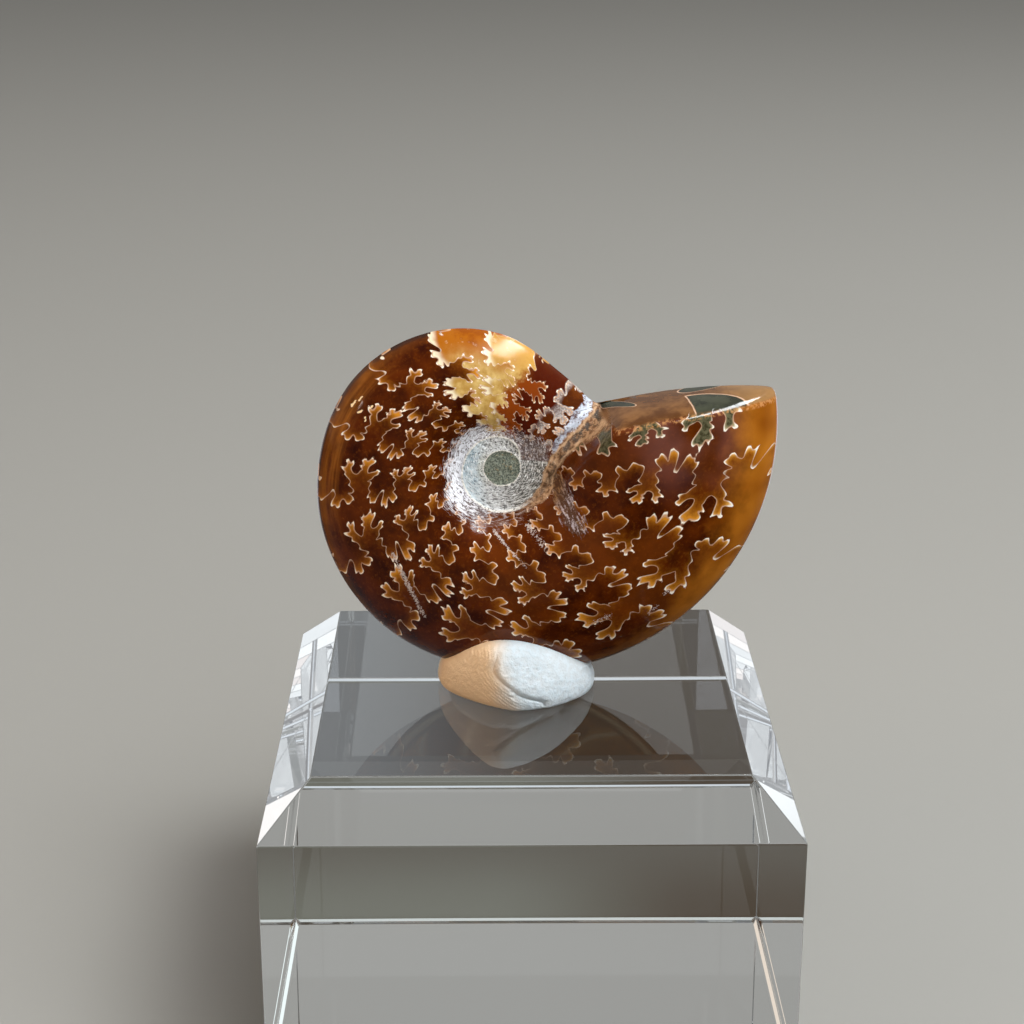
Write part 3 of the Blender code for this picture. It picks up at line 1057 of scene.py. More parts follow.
# %% [markdown]
# The brown is never even. Noise of several sizes is laid over it: clouds of six millimetres,
# mottles of two, grains of a third of one, and a tint that differs from chamber to chamber.
# %% Brown of the thick middle
mottle = stone.noise(0.0022, 3.0, 0.6)
grain = stone.noise(0.00035, 2.0, 0.6)
cloud = stone.noise(0.006, 2.0, 0.5)
speckle = stone.noise(0.00017, 2.0, 0.7)
coarse_speckle = stone.noise(0.00036, 2.0, 0.6)
body = stone.mix(stone.ramp(mottle, 0.3, 0.72), shade(46, 9, 0), shade(84, 32, 0))
body = stone.mix(stone.ramp(cloud, 0.45, 0.75) * 0.45, body, shade(104, 42, 6))
body = stone.mix(stone.ramp(grain, 0.5, 0.8) * 0.22, body, shade(150, 78, 14))
body = stone.mix(stone.ramp(chance_of_chamber, 0.55, 1.0) * 0.35, body, shade(125, 62, 16))
stone.tell("brown middle")

# %% [markdown]
# Along the rim the stone is thin and turns amber, most of all towards the saw cut. On the
# left a golden band of fine streaks runs just inside a rim of painted shade; the band is the
# stone's own streaks with a painted sheen of the warm light from the left. Near the saw cut a
# painted pinkish sheen, a reflection of soft light from the right, lies over the middle of
# the flank.
# %% Amber margin, golden band, painted rim shade and painted sheen
late = stone.ramp(turn_number, math.radians(270.0), math.radians(350.0))
left_side = stone.ramp(turn_number, math.radians(128.0), math.radians(165.0))
left_side = left_side * stone.ramp(turn_number, math.radians(215.0), math.radians(185.0))
margin_start = 0.93 - late * 0.15 - left_side * 0.04
margin = ((share_number - margin_start) / 0.13 + (mottle - 0.5) * 1.1).clamped()
margin = margin * (0.40 + late * 0.6 + left_side * 0.35).clamped()
amber = stone.mix(stone.ramp(cloud, 0.3, 0.7), shade(136, 72, 10), shade(190, 118, 32))
body = stone.mix(margin * 0.85, body, amber)
band_place = stone.point(turn_number * 0.0012, share_number * 0.02, 0.0)
band_streaks = stone.noise(0.0005, 2.0, 0.6, place=band_place)
# Golden band: the stone's own streaks, with a painted sheen of the warm light from the left.
golden_streaks_and_sheen = stone.ramp(share_number, 0.85, 0.91) * stone.ramp(share_number, 0.985, 0.95)
golden_streaks_and_sheen = golden_streaks_and_sheen * left_side * stone.ramp(band_streaks, 0.30, 0.75)
body = stone.mix(golden_streaks_and_sheen * 0.55, body, shade(176, 108, 36))
# Painted shade: the rim at the top and on the left is darkened where the keel turns away.
painted_rim_shade = stone.ramp(share_number, 0.975, 0.992)
painted_rim_shade = painted_rim_shade * stone.ramp(turn_number, math.radians(85.0), math.radians(110.0))
painted_rim_shade = painted_rim_shade * stone.ramp(turn_number, math.radians(235.0), math.radians(190.0))
body = stone.mix(painted_rim_shade * 0.7, body, shade(38, 20, 12))
# Painted sheen: a pinkish reflection of soft light from the right, laid into the colour.
painted_pink_sheen = stone.ramp(turn_number, math.radians(345.0), math.radians(372.0))
painted_pink_sheen = painted_pink_sheen * stone.ramp(share_number, 0.4, 0.6) * stone.ramp(share_number, 0.92, 0.72)
body = stone.mix(painted_pink_sheen * stone.ramp(cloud, 0.35, 0.6) * 0.5, body, shade(132, 86, 78))
stone.tell("amber margin")

# %% [markdown]
# Under a leaf the wall slopes up close to the surface, and there the calcite is thin and
# golden. It is palest along the line and at a leaf's tips, so the gold is mixed from how far
# the chamber's number is from the wide average and from the distance to the suture.
# %% Gold in the folds
beyond = abs(leaf)
pointed = abs(tip)
in_leaf = stone.ramp(beyond + (mottle - 0.5) * 0.10, 0.44, 0.72)
along_line = stone.ramp(abs(suture), 0.85, 0.05)
near_tip = stone.ramp(beyond, 0.60, 0.95) * (0.35 + along_line * 0.6) + along_line * 0.3
gold_share = (near_tip + (grain - 0.5) * 0.6).clamped()
gold = stone.mix(gold_share, shade(108, 44, 0), shade(214, 140, 40))
body = stone.mix(in_leaf * 0.92, body, gold)
stone.tell("golden folds")

# %% [markdown]
# Two chambers at the top hold pale calcite instead of brown. They need no outline of their
# own, because the number of the chamber is known at every point: the sutures bound them.
# %% Pale chambers
PALE_MIDDLE = 5.5
PALE_REACH = 1.0

pale = abs(chamber_number - PALE_MIDDLE) < PALE_REACH
first_pale = chamber_number > PALE_MIDDLE
near_rim = stone.ramp(share_number + (cloud - 0.5) * 0.3, 0.70, 0.92)
pale_noise = stone.noise(0.0011, 3.0, 0.62)
calcite = stone.mix(stone.ramp(pale_noise, 0.3, 0.7), shade(178, 134, 62), shade(214, 180, 110))
amber_spots = stone.ramp(cloud + (pale_noise - 0.5) * 0.5, 0.50, 0.62)
calcite = stone.mix(near_rim * (0.35 + first_pale * 0.6), calcite, shade(166, 90, 0))
calcite = stone.mix(amber_spots * near_rim * 0.75, calcite, shade(140, 64, 0))
upper_second = near_rim * (1.0 - first_pale)
calcite = stone.mix(upper_second * 0.6, calcite, shade(206, 152, 50))
calcite = stone.mix(stone.ramp(pale_noise, 0.60, 0.72) * 0.4, calcite, shade(240, 224, 184))
fading = turn_number + share_number + (cloud - 0.5) * 0.7 + (pale_noise - 0.5) * 0.5
fading = stone.ramp(fading, 2.16, 1.96) * (1.0 - first_pale)
calcite = stone.mix(fading, calcite, shade(132, 58, 12))
pale_tip = stone.ramp(leaf, -0.46, -0.75) * (1.0 - fading * 0.8)
calcite = stone.mix(pale_tip * 0.9, calcite, shade(238, 222, 176))
pale_edge = stone.ramp(abs(suture), 0.65, 0.08) * stone.ramp(leaf, -0.44, -0.60)
calcite = stone.mix(pale_edge * 0.6, calcite, shade(252, 244, 222))
body = stone.mix(pale, body, calcite)
stone.tell("pale chambers")

# %% [markdown]
# A few chambers have a filling of their own: one next to the pale ones is dark red, and those
# at the saw cut are a dull grey-green. Leaves beside the pearly patch are a speckled grey.
# %% Red chamber, last chamber and grey leaves
RED_CHAMBER = 4.0
LAST_CHAMBER = 17.5

red = abs(chamber_number - RED_CHAMBER) < 0.5
body = stone.mix(red * 0.8, body, shade(76, 18, 2))
last_chamber = chamber_number > LAST_CHAMBER
grey_green = stone.mix(stone.ramp(grain, 0.3, 0.7), shade(58, 54, 34), shade(104, 100, 74))
body = stone.mix(last_chamber, body, grey_green)
beside_number = stone.measure("beside_nacre")
grey_leaf = stone.mix(stone.ramp(speckle, 0.4, 0.6), shade(150, 140, 134), shade(206, 200, 196))
grey_fill = stone.ramp(beyond, 0.42, 0.60).at_least(stone.ramp(pointed, 0.15, 0.40))
body = stone.mix(beside_number * grey_fill * 0.85, body, grey_leaf)
stone.tell("single chambers")

# %% [markdown]
# Light comes back from the wall that slopes away under every fold, most of all at the tips,
# where that wall lies just under the polish. So each tip glows pale gold, turns white at its
# very edge, and a fine cream line follows the whole suture.
# %% Glow at the tips, and the suture line
not_rim = stone.ramp(share_number, 0.992, 0.960)
pale_gold = stone.ramp(pointed, 0.20, 0.60) * stone.ramp(beyond, 0.50, 0.72) * not_rim
tip_colour = stone.mix(last_chamber, shade(236, 178, 84), shade(186, 174, 130))
body = stone.mix(pale_gold * 0.85, body, tip_colour)
edge_glow = stone.ramp(abs(suture), 0.30, 0.03) * stone.ramp(pointed, 0.40, 0.60)
edge_glow = edge_glow * stone.ramp(beyond, 0.48, 0.60) * not_rim
body = stone.mix(edge_glow * 0.85, body, shade(252, 240, 218))

line_width = 0.015 + stone.ramp(beyond, 0.50, 0.75) * 0.08 + (grain - 0.5) * 0.04
line = stone.ramp(abs(suture) - line_width, 0.04, -0.03)
cream_share = stone.ramp(pointed, 0.40, 0.60) * stone.ramp(beyond, 0.4, 0.65)
cream = stone.mix(cream_share, shade(196, 154, 124), shade(255, 247, 234))
quiet_line = pale * stone.ramp(leaf, -0.2, 0.3)
body = stone.mix(line * (0.85 - quiet_line * 0.6) * (not_rim * 0.7 + 0.3), body, cream)
stone.tell("suture line")

# %% [markdown]
# ## The chalky middle
#
# In the coil's middle the first whorls are no longer clear: they are weathered to a white
# frost that ends raggedly in the brown, and its grain runs round the coil. Noise on plain
# coordinates would look the same in every direction. So it is read at a place made of the
# angle and the radius, which draws every spot out into a short streak along the whorl.
# %% Frosted ring
frost_number = stone.measure("frost")
from_centre_x = x_number - COIL_CENTRE_X * MM
from_centre_z = z_number - COIL_CENTRE_Z * MM
angle_number = from_centre_z.maths("ARCTAN2", from_centre_z, from_centre_x)
radius_number = (from_centre_x * from_centre_x + from_centre_z * from_centre_z) ** 0.5
streak_place = stone.point(angle_number * 0.0011, radius_number, 0.0)
streaks = stone.noise(0.00013, 3.0, 0.7, place=streak_place, distortion=0.6)

whiter_left = stone.ramp(from_centre_x - from_centre_z * 0.3, 0.001, -0.004)
frost_light = streaks + (speckle - 0.5) * 0.6 + whiter_left * 0.15
frost_top = stone.mix(whiter_left, shade(210, 206, 208), shade(236, 236, 242))
white_frost = stone.mix(stone.ramp(frost_light, 0.47, 0.68), shade(92, 80, 78), frost_top)
frosted = stone.ramp(frost_number + (streaks - 0.5) * 2.6 + (mottle - 0.5) * 2.0, -0.45, 0.40)
tan_side = stone.ramp(from_centre_z - from_centre_x * 0.6, -0.0036, -0.0062)
tan_side = tan_side * stone.ramp(from_centre_x, -0.0022, 0.0)
white_frost = stone.mix(tan_side * 0.6, white_frost, shade(146, 122, 104))
body = stone.mix(frosted * (0.80 + whiter_left * 0.2), body, white_frost)
stone.tell("frosted ring")

# %% [markdown]
# Inside the outer ridge the stone is pale with dark grains. It is bluish on the left,
# yellowish next to the plug and greyer on the right. The plug is a speckled grey-green.
# %% Pale coil and plug
plug_number = stone.measure("plug")
coil_number = stone.measure("coil")
inside_coil = stone.ramp(coil_number, 0.06, -0.06)
toward_right = stone.ramp(from_centre_x, -0.0005, 0.0022)
toward_left = stone.ramp(from_centre_x, -0.0008, -0.0026)
dark_share = 0.43 + toward_right * 0.05 - toward_left * 0.06
low = stone.ramp(from_centre_z, -0.0005, -0.003)
dots = (speckle - 0.5) * (1.0 - low * 0.7) + (streaks - 0.5) * (0.4 + low * 0.8) + 0.5
dots = stone.ramp(dots - dark_share, 0.04, -0.03)
beside_plug = stone.ramp(plug_number, 0.9, 0.2)
left_clouds = stone.ramp(mottle + (streaks - 0.5) * 0.5, 0.38, 0.60)
left_tint = stone.mix(left_clouds, shade(122, 152, 168), shade(202, 216, 222))
left_tint = stone.mix(beside_plug * 0.8, left_tint, shade(196, 196, 170))
ground = stone.mix(toward_left * 0.8, shade(206, 206, 206), left_tint)
ground = stone.mix(toward_right * 0.7, ground, shade(150, 144, 134))
ground = stone.mix(stone.ramp(streaks, 0.5, 0.66), ground, shade(238, 240, 240))
between = stone.mix(dots * 0.85, ground, shade(54, 54, 50))
body = stone.mix(inside_coil, body, between)

inside_plug = stone.ramp(plug_number, 0.05, -0.05)
plug_colour = stone.mix(stone.ramp(speckle, 0.38, 0.62), shade(74, 82, 74), shade(142, 148, 132))
plug_colour = stone.mix(stone.ramp(coarse_speckle, 0.60, 0.72) * 0.7, plug_colour, shade(176, 152, 112))
body = stone.mix(inside_plug, body, plug_colour)
stone.tell("coil and plug")

# %% [markdown]
# The two walls that stand up from the dish are worn white. Their lines waver a little, and
# speckle breaks them up.
# %% White ridges
wavering = (mottle - 0.5) * 0.25
inner_ridge = stone.ramp(abs(plug_number + wavering), 0.10, 0.03)
outer_ridge = stone.ramp(abs(coil_number + wavering), 0.14, 0.04)
ridge = inner_ridge.at_least(outer_ridge) * stone.ramp(speckle, 0.32, 0.50)
body = stone.mix(ridge * 0.9, body, shade(240, 236, 228))
stone.tell("ridges")

# %% [markdown]
# At the dish's lower right a fan of dull streaks runs out over the flank and its sutures.
# Its noise is read at a turned and stretched place, so its spots become slanting fibres.
# %% Dull fan
dull_number = stone.measure("dull")
fan_place = stone.point(x_number * 0.9 + z_number * 0.45, (z_number - x_number * 0.5) * 0.25, 0.0)
fan_streaks = stone.noise(0.00030, 3.0, 0.65, place=fan_place)
dulled = stone.ramp(dull_number + (fan_streaks - 0.5) * 1.8 + (mottle - 0.5) * 1.0, 0.25, 0.75)
dulled = dulled * stone.ramp(dull_number, 0.0, 0.15)
crust_number = stone.measure("crust")
near_seam = stone.ramp(crust_number, 2.2, 1.0)
fan_light = stone.mix(near_seam, shade(196, 184, 190), shade(158, 118, 74))
fan_lines = stone.ramp(fan_streaks + (speckle - 0.5) * 0.5, 0.48, 0.66)
dull_colour = stone.mix(fan_lines, shade(84, 54, 34), fan_light)
body = stone.mix(dulled * 0.85, body, dull_colour)
stone.tell("dull fan")

# %% [markdown]
# Some of the shell's own mother-of-pearl is left beside the lip. It is a bluish grey with
# near-white grains and dark pits, and its edge is ragged.
# %% Pearly patch
nacre_number = stone.measure("nacre")
pearly = nacre_number + (mottle - 0.5) * 1.8 + (pale_noise - 0.5) * 1.0 + (speckle - 0.5) * 0.5
pearly = stone.ramp(pearly + (beyond - 0.5) * 0.5, 0.46, 0.66) * stone.ramp(nacre_number, 0.0, 0.2)
pearl = stone.mix(stone.ramp(pale_noise, 0.40, 0.60), shade(100, 86, 98), shade(190, 198, 212))
pearl = stone.mix(stone.ramp(coarse_speckle, 0.58, 0.72) * 0.8, pearl, shade(236, 238, 244))
pearl = stone.mix(stone.ramp(coarse_speckle, 0.44, 0.34) * 0.9, pearl, shade(78, 58, 56))
body = stone.mix(pearly * 0.92, body, pearl)
stone.tell("pearly patch")

# %% [markdown]
# The seam under the lip carries a tan crust that widens towards the notch. There it parts
# into strands, with dark stone between them.
# %% Crust on the seam
crust_place = stone.measure("crust_place")
crust_width = 0.30 + crust_place * 0.50
crust_edge = crust_number - crust_width + (coarse_speckle - 0.5) * 0.5 + (mottle - 0.5) * 1.0
crust = stone.ramp(crust_edge, 0.14, -0.08) * stone.ramp(crust_place, 0.05, 0.25)
crust_grains = stone.ramp(coarse_speckle, 0.36, 0.64)
crust_colour = stone.mix(crust_grains, shade(116, 78, 48), shade(186, 146, 108))
between_strands = stone.ramp(crust_number + (coarse_speckle - 0.5) * 0.3, 0.42, 0.22) * crust_place
between_strands = between_strands * stone.ramp(pale_noise, 0.44, 0.54)
crust_colour = stone.mix(between_strands, crust_colour, shade(58, 48, 36))
strand = stone.ramp(abs(crust_number - 0.5 + (pale_noise - 0.5) * 0.5), 0.13, 0.04)
crust_colour = stone.mix(strand * 0.6, crust_colour, shade(206, 168, 128))
crust_colour = stone.mix(stone.ramp(speckle, 0.62, 0.72) * 0.5, crust_colour, shade(214, 196, 172))
body = stone.mix(crust * 0.95, body, crust_colour)
stone.tell("crust")

# %% [markdown]
# Last on the flank come a few pale veins, broken up by speckle, and five tiny painted glints,
# small highlights laid into the colour.
# %% Pale veins and painted glints
fleck_number = stone.measure("fleck")
flecked = stone.ramp(fleck_number + (speckle - 0.5) * 1.3 + (mottle - 0.5) * 0.9, 0.62, 0.75)
body = stone.mix(flecked * 0.75, body, shade(206, 192, 184))
# Painted highlights: the glints are a near-white colour, not a reflection.
painted_glint_share = stone.ramp(stone.measure("glint") + (grain - 0.5) * 1.6, 0.45, 0.80)
body = stone.mix(painted_glint_share, body, shade(255, 226, 176))
stone.tell("veins and glints")

# %% [markdown]
# ## The sawn end and the back
#
# The last whorl ends at a saw cut, whose face is brown and turns paler towards its outer tip.
# The distance in from the cut is known at every point of the flank, so the face is simply
# where that distance is small. A speckled pale line marks its edge.
# %% Face of the saw cut
sawn = stone.measure("sawn")
on_end = stone.ramp(sawn + (mottle - 0.5) * 0.3, 0.95, 0.65)
on_end = on_end * stone.ramp(from_centre_x, (NOTCH[0] - 0.5) * MM, (NOTCH[0] + 0.3) * MM)
end_colour = stone.mix(stone.ramp(mottle, 0.35, 0.7), shade(88, 52, 22), shade(130, 88, 48))
end_colour = stone.mix(stone.ramp(from_centre_x, 0.0195, 0.0245) * 0.5, end_colour, shade(176, 134, 84))
body = stone.mix(on_end, body, end_colour)
end_edge = stone.ramp(abs(sawn - 1.0), 0.35, 0.10) * stone.ramp(coarse_speckle, 0.45, 0.60)
end_edge = end_edge * stone.ramp(from_centre_x, (NOTCH[0] + 0.5) * MM, (NOTCH[0] + 1.5) * MM)
body = stone.mix(end_edge * 0.6, body, shade(204, 146, 90))
stone.tell("saw cut")

# %% [markdown]
# The cut goes across three dark chambers, each edged by a thin pale wall. They could be
# ovals of mesh let into the face, but they lie flush with it. So each is a formula on the
# cut's two directions, which is above 0 inside an oval. A row gives the middle along the cut
# and in depth, the half length, the half width, the slope, the taper to the right, and how
# many half lengths left of the middle a straight edge cuts the oval off. A cut at 9 half
# lengths is so far out that it takes nothing off.
# %% Chambers in the saw cut
LENSES = (
    (11.3, -1.5, 1.7, 0.85, -0.9, 0.0, 9.0),
    (19.3, -0.5, 2.2, 0.90, 0.25, 0.3, 9.0),
    (19.6, -5.1, 4.1, 2.6, 0.10, 0.30, 0.344),
)
LENS_CUT_LEAN = 0.126
LENS_CUT_SHARPNESS = 4.0

lens = None
for lens_x, lens_y, lens_length, lens_width, lens_slope, lens_taper, lens_cut in LENSES:
    lens_place = (from_centre_x - lens_x * MM) / (lens_length * MM)
    lens_middle = (CUT_FACE_Y + lens_y) * MM + lens_place * (lens_slope * lens_length * MM)
    lens_depth = (y_number - lens_middle) / ((1.0 - lens_place * lens_taper) * (lens_width * MM))
    one_lens = 1.0 - lens_place * lens_place - lens_depth * lens_depth
    straight_edge = lens_place + lens_depth * LENS_CUT_LEAN + lens_cut
    one_lens = one_lens.at_most(straight_edge * LENS_CUT_SHARPNESS)
    lens = one_lens if lens is None else lens.at_least(one_lens)
lens = lens + (mottle - 0.5) * 0.3
lens_outline = stone.ramp(abs(lens), 0.10, 0.03) * on_end
body = stone.mix(lens_outline * 0.8, body, shade(222, 186, 158))
lens_colour = stone.mix(stone.ramp(mottle, 0.35, 0.65), shade(38, 40, 30), shade(64, 66, 52))
body = stone.mix(stone.ramp(lens, 0.06, 0.14) * on_end, body, lens_colour)
stone.tell("dark chambers")

# %% [markdown]
# The back is the saw cut through the middle of the shell. There the whorls show as rings
# between thin spiral walls, and curved walls part the chambers, each filled with its own
# shade of calcite. On a spiral, the logarithm of the radius and the angle make one steady
# count, so whole numbers of that count are the walls. The chambers are counted along the
# spiral in the same way, and they stand a little closer together towards the opening.
# %% Count the whorls and the chambers
WHORL_GROWTH = math.log(2.8)
RIM_LOG = 2.30
RIM_WAVE = (-0.0435, -0.067)
SMALLEST_RADIUS = 0.05
SEPTA_PER_TURN = 2.0 * math.pi / CHAMBER_ANGLE
SEPTA_CROWDING = 0.33
SEPTUM_BOW = 0.75

back = stone.measure("back")
rim_log = RIM_LOG + angle_number.maths("COSINE", angle_number) * RIM_WAVE[0]
rim_log = rim_log + angle_number.maths("SINE", angle_number) * RIM_WAVE[1]
radius_log = (radius_number / MM).at_least(SMALLEST_RADIUS)
radius_log = radius_log.maths("LOGARITHM", radius_log, math.e)
turns = angle_number / (2.0 * math.pi)
coil_count = (radius_log - rim_log) / WHORL_GROWTH - turns + 1.0
whorl = coil_count.maths("CEIL", coil_count)
across_whorl = coil_count - whorl + 1.0
wall_distance = across_whorl.at_most(1.0 - across_whorl)
turns_grown = whorl + turns
septa = turns_grown * SEPTA_PER_TURN + turns_grown * turns_grown * SEPTA_CROWDING
septa = septa + across_whorl * (1.0 - across_whorl) * 4.0 * SEPTUM_BOW + (cloud - 0.5) * 0.4
cell_number = septa.maths("FLOOR", septa)
in_cell = septa - cell_number
cell_edge = in_cell.at_most(1.0 - in_cell)
stone.tell("chambers of the back counted")

# %% [markdown]
# Every chamber of the back has one random number, which sets its shade between brown and
# gold, or makes it cream. The curved walls between the chambers are thin pale lines, and the
# spiral wall between the whorls is a pale line with dark edges.
# %% Colours of the back
cell_chance = stone.random(cell_number)
fill = stone.mix(stone.ramp(cell_chance, 0.25, 0.75), shade(92, 42, 12), shade(198, 134, 56))
fill = stone.mix(stone.ramp(cell_chance, 0.80, 0.84), fill, shade(226, 208, 170))
near_septum = stone.ramp(cell_edge + (mottle - 0.5) * 0.3, 0.22, 0.05)
fill = stone.mix(near_septum * 0.6, fill, shade(222, 176, 104))
fill = stone.mix(stone.ramp(mottle, 0.55, 0.75) * 0.4, fill, shade(120, 66, 24))
septum = stone.ramp(cell_edge * across_whorl.at_least(0.4), 0.06, 0.025)
fill = stone.mix(septum * 0.9, fill, shade(236, 220, 188))
fill = stone.mix(stone.ramp(wall_distance, 0.075, 0.05) * 0.9, fill, shade(60, 30, 14))
fill = stone.mix(stone.ramp(wall_distance, 0.050, 0.030), fill, shade(226, 210, 178))
body = stone.mix(back, body, fill)
stone.tell("back")

# %% [markdown]
# The polish is even over the calcite. Where the stone is chalky it takes no polish, so it is
# rough there and has a fine grain, which is too small to be worth points of its own.
# %% Gloss and relief of the stone
chalky = frosted.at_least(inside_coil).at_least(crust).at_least(dulled * 0.8)
chalky = chalky * (1.0 - back)
roughness = 0.10 + (grain - 0.5) * 0.05 + chalky * 0.6 + pearly * 0.3 + pale * (1.0 - fading) * 0.10
chalk_relief = (speckle + streaks * 0.6) * chalky
relief = stone.bump(chalk_relief + line * 0.3 + mottle * 0.25, 0.00006, 0.6)
stone.set({"Base Color": body, "Roughness": roughness, "Normal": relief})
fossil.data.materials.append(stone.material)
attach(fossil, "root")
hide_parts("fossil")
stone.tell("finished")

# %% [markdown]
# ## The putty
#
# Display putty is a soft white clay. Here it was pressed down in the middle and pulled out
# to two blunt tips, so its skin has fine wrinkles and one fold that runs from the top down
# the front. A sculpted mesh would do, but its main form is simple enough for a formula:
# level ovals, pointed on the left and blunt on the right, under a crest height that falls
# away to both tips. The fossil presses its own shape into the top.
#
# A level oval keeps |x|^p + |y|^p at 1, with a lower power p where its end is more pointed.
# Such an end would come out as a sharp corner, so it is drawn past its limit and then held
# back smoothly.
# %% Level ovals of the putty
PUTTY_ENDS = (-9.35, 7.15)
PUTTY_MIDDLE_Y = 1.0
PUTTY_FRONT = 7.8
PUTTY_BACK = 3.6
PUTTY_POWERS = (1.32, 1.62)
PUTTY_CORNER_X = (-1.2, -3.6)
PUTTY_END_ROUNDING = 9.0
PUTTY_OVERSHOOT = 1.10
PUTTY_PROFILE = (
    (-0.03, 0.82), (0.0, 0.93), (0.06, 0.975), (0.2, 1.0), (0.4, 1.0), (0.6, 0.975), (0.78, 0.93),
    (0.91, 0.85), (0.99, 0.69), (1.03, 0.42), (1.04, 0.18), (1.04, 0.0),
)
PUTTY_COLUMNS = 440
PUTTY_RINGS = 180

ring_place = np.linspace(1.0, len(PUTTY_PROFILE) - 2.0, PUTTY_RINGS)
height_share, plan_share = smooth_curve(PUTTY_PROFILE + (PUTTY_PROFILE[-1],), ring_place).T
height_share, plan_share = height_share[:, None], plan_share[:, None]
putty_angle = 2.0 * math.pi * np.arange(PUTTY_COLUMNS) / PUTTY_COLUMNS
cosine, sine = np.cos(putty_angle), np.sin(putty_angle)
power = np.where(cosine > 0.0, PUTTY_POWERS[1], PUTTY_POWERS[0])
oval = (np.abs(cosine) ** power + np.abs(sine) ** power) ** (-1.0 / power)
across = PUTTY_OVERSHOOT * oval * np.abs(cosine)
across = across / (1.0 + across ** PUTTY_END_ROUNDING) ** (1.0 / PUTTY_END_ROUNDING)
corner_x = PUTTY_CORNER_X[0] + (PUTTY_CORNER_X[1] - PUTTY_CORNER_X[0]) * height_share
end_x = np.where(cosine > 0.0, PUTTY_ENDS[1], PUTTY_ENDS[0])
depth = np.where(sine > 0.0, PUTTY_BACK, PUTTY_FRONT)
putty_x = corner_x + plan_share * across * (end_x - corner_x)
putty_y = PUTTY_MIDDLE_Y + plan_share * depth * oval * sine
print("putty reaches from", round(float(putty_x.min()), 1), "to", round(float(putty_x.max()), 1), "mm")

# %% Top of the putty
PUTTY_PEAK_X = -1.6
PUTTY_PEAKS = (10.4, 10.8)
PUTTY_PEAK_POWER = 0.8
PUTTY_HEIGHTS = (7.5, 4.6)
BLOCK_GAP = 0.02
SEAT_GAP = 0.02
SEAT_STEPS = 22
SEARCH_TOP = -9.0


def putty_crest(x, y):
    """Height of the putty over a place in plan: low at the tips and at the back."""
    half = np.where(x < PUTTY_PEAK_X, PUTTY_PEAKS[0], PUTTY_PEAKS[1])
    falling = np.clip(1.0 - ((x - PUTTY_PEAK_X) / half) ** 2, 0.0, None) ** PUTTY_PEAK_POWER
    backwards = (y - PUTTY_MIDDLE_Y + PUTTY_FRONT) / (PUTTY_FRONT + PUTTY_BACK)
    return falling * (PUTTY_HEIGHTS[0] + (PUTTY_HEIGHTS[1] - PUTTY_HEIGHTS[0]) * backwards)


def seat_level(x, y):
    """Height of the fossil's underside over the block at a place in plan.

    It halves the stretch between a place under the shell and one inside it, again and
    again, and is without limit where the shell doesn't reach over the place.
    """
    wanted = CUT_FACE_Y - y
    low = np.full(x.shape, BLOCK_HEIGHT - COIL_CENTRE_Z - 1.0)
    high = np.full(x.shape, SEARCH_TOP)
    shell_x = x - COIL_CENTRE_X
    for _ in range(SEAT_STEPS):
        middle = 0.5 * (low + high)
        within = np.hypot(shell_x, middle) < outline_radius(np.arctan2(middle, shell_x))
        inside = (shell_height(shell_x, middle) > wanted) & within
        high = np.where(inside, middle, high)
        low = np.where(inside, low, middle)
    covered = (wanted > 0.0) & (high < SEARCH_TOP)
    return np.where(covered, COIL_CENTRE_Z - BLOCK_HEIGHT + high - SEAT_GAP, np.inf)


putty_z = height_share * putty_crest(putty_x, putty_y)
print("putty before the fossil is pressed in, mm:", round(float(putty_z.max()), 1))

# %% [markdown]
# Pressing and pulling left three kinds of marks: a fold with a sharp lip that runs down the
# front, fine parallel wrinkles on the stretched side left of it, and shallow dimples all
# over. All are small moves of the points, in and out.
# %% Line of the fold
FOLD = (
    (-3.2, 7.4), (-3.2, 6.4), (-3.2, 5.5), (-3.5, 4.4), (-3.0, 3.5), (-2.05, 2.7), (-0.9, 1.75),
    (0.3, 1.2), (1.2, 0.85), (1.5, 0.4), (1.5, 0.0), (1.5, -0.4),
)
FOLD_SAMPLES = 80

fold_path = smooth_curve(FOLD, np.linspace(1.0, len(FOLD) - 3.0, FOLD_SAMPLES))
fold_distance, fold_place_along = distance_to_path(putty_x, putty_z, fold_path)
fold_x = np.interp(putty_z, fold_path[::-1, 1], fold_path[::-1, 0])
right_of_fold = np.where(putty_x > fold_x, 1.0, -1.0)
signed_fold = fold_distance * right_of_fold
print("points within 0.5 mm of the fold:", int((fold_distance < 0.5).sum()))

# %% Groove, lips, wrinkles and dimples
GROOVE_DEPTH, GROOVE_WIDTH = 0.13, 0.10
LIP_BULGES = (0.06, 0.20)
LIP_SPREAD = 0.65
WRINKLE_DEPTH, WRINKLE_STEP = 0.030, 0.31
WRINKLE_SWAY, WRINKLE_SWAY_SIZE = 0.25, 1.3
DIMPLE_DEPTH, DIMPLE_SIZE = 0.06, 1.9
PIMPLE_DEPTH, PIMPLE_SIZE = 0.02, 0.42

on_front = fade(putty_y, -1.0, -3.0)
groove = -GROOVE_DEPTH * np.exp(-((signed_fold / GROOVE_WIDTH) ** 2))
groove = groove * fade(fold_place_along, 0.0, 0.1)
lip_bulge = np.where(right_of_fold > 0.0, LIP_BULGES[1], LIP_BULGES[0])
lip_bulge = lip_bulge * fade(fold_distance, 0.0, LIP_SPREAD)
lip_bulge = lip_bulge * np.exp(-((fold_distance / (3.0 * LIP_SPREAD)) ** 2))
bend = signed_fold + WRINKLE_SWAY * bumps(putty_x, putty_z, WRINKLE_SWAY_SIZE)
wrinkle = WRINKLE_DEPTH * np.sin(2.0 * math.pi * bend / WRINKLE_STEP)
wrinkle = wrinkle * fade(signed_fold, -0.15, -0.65) * fade(signed_fold, -4.2, -1.7)
wrinkle = wrinkle * fade(bumps(putty_z, putty_x, 1.7), -0.8, 0.2)
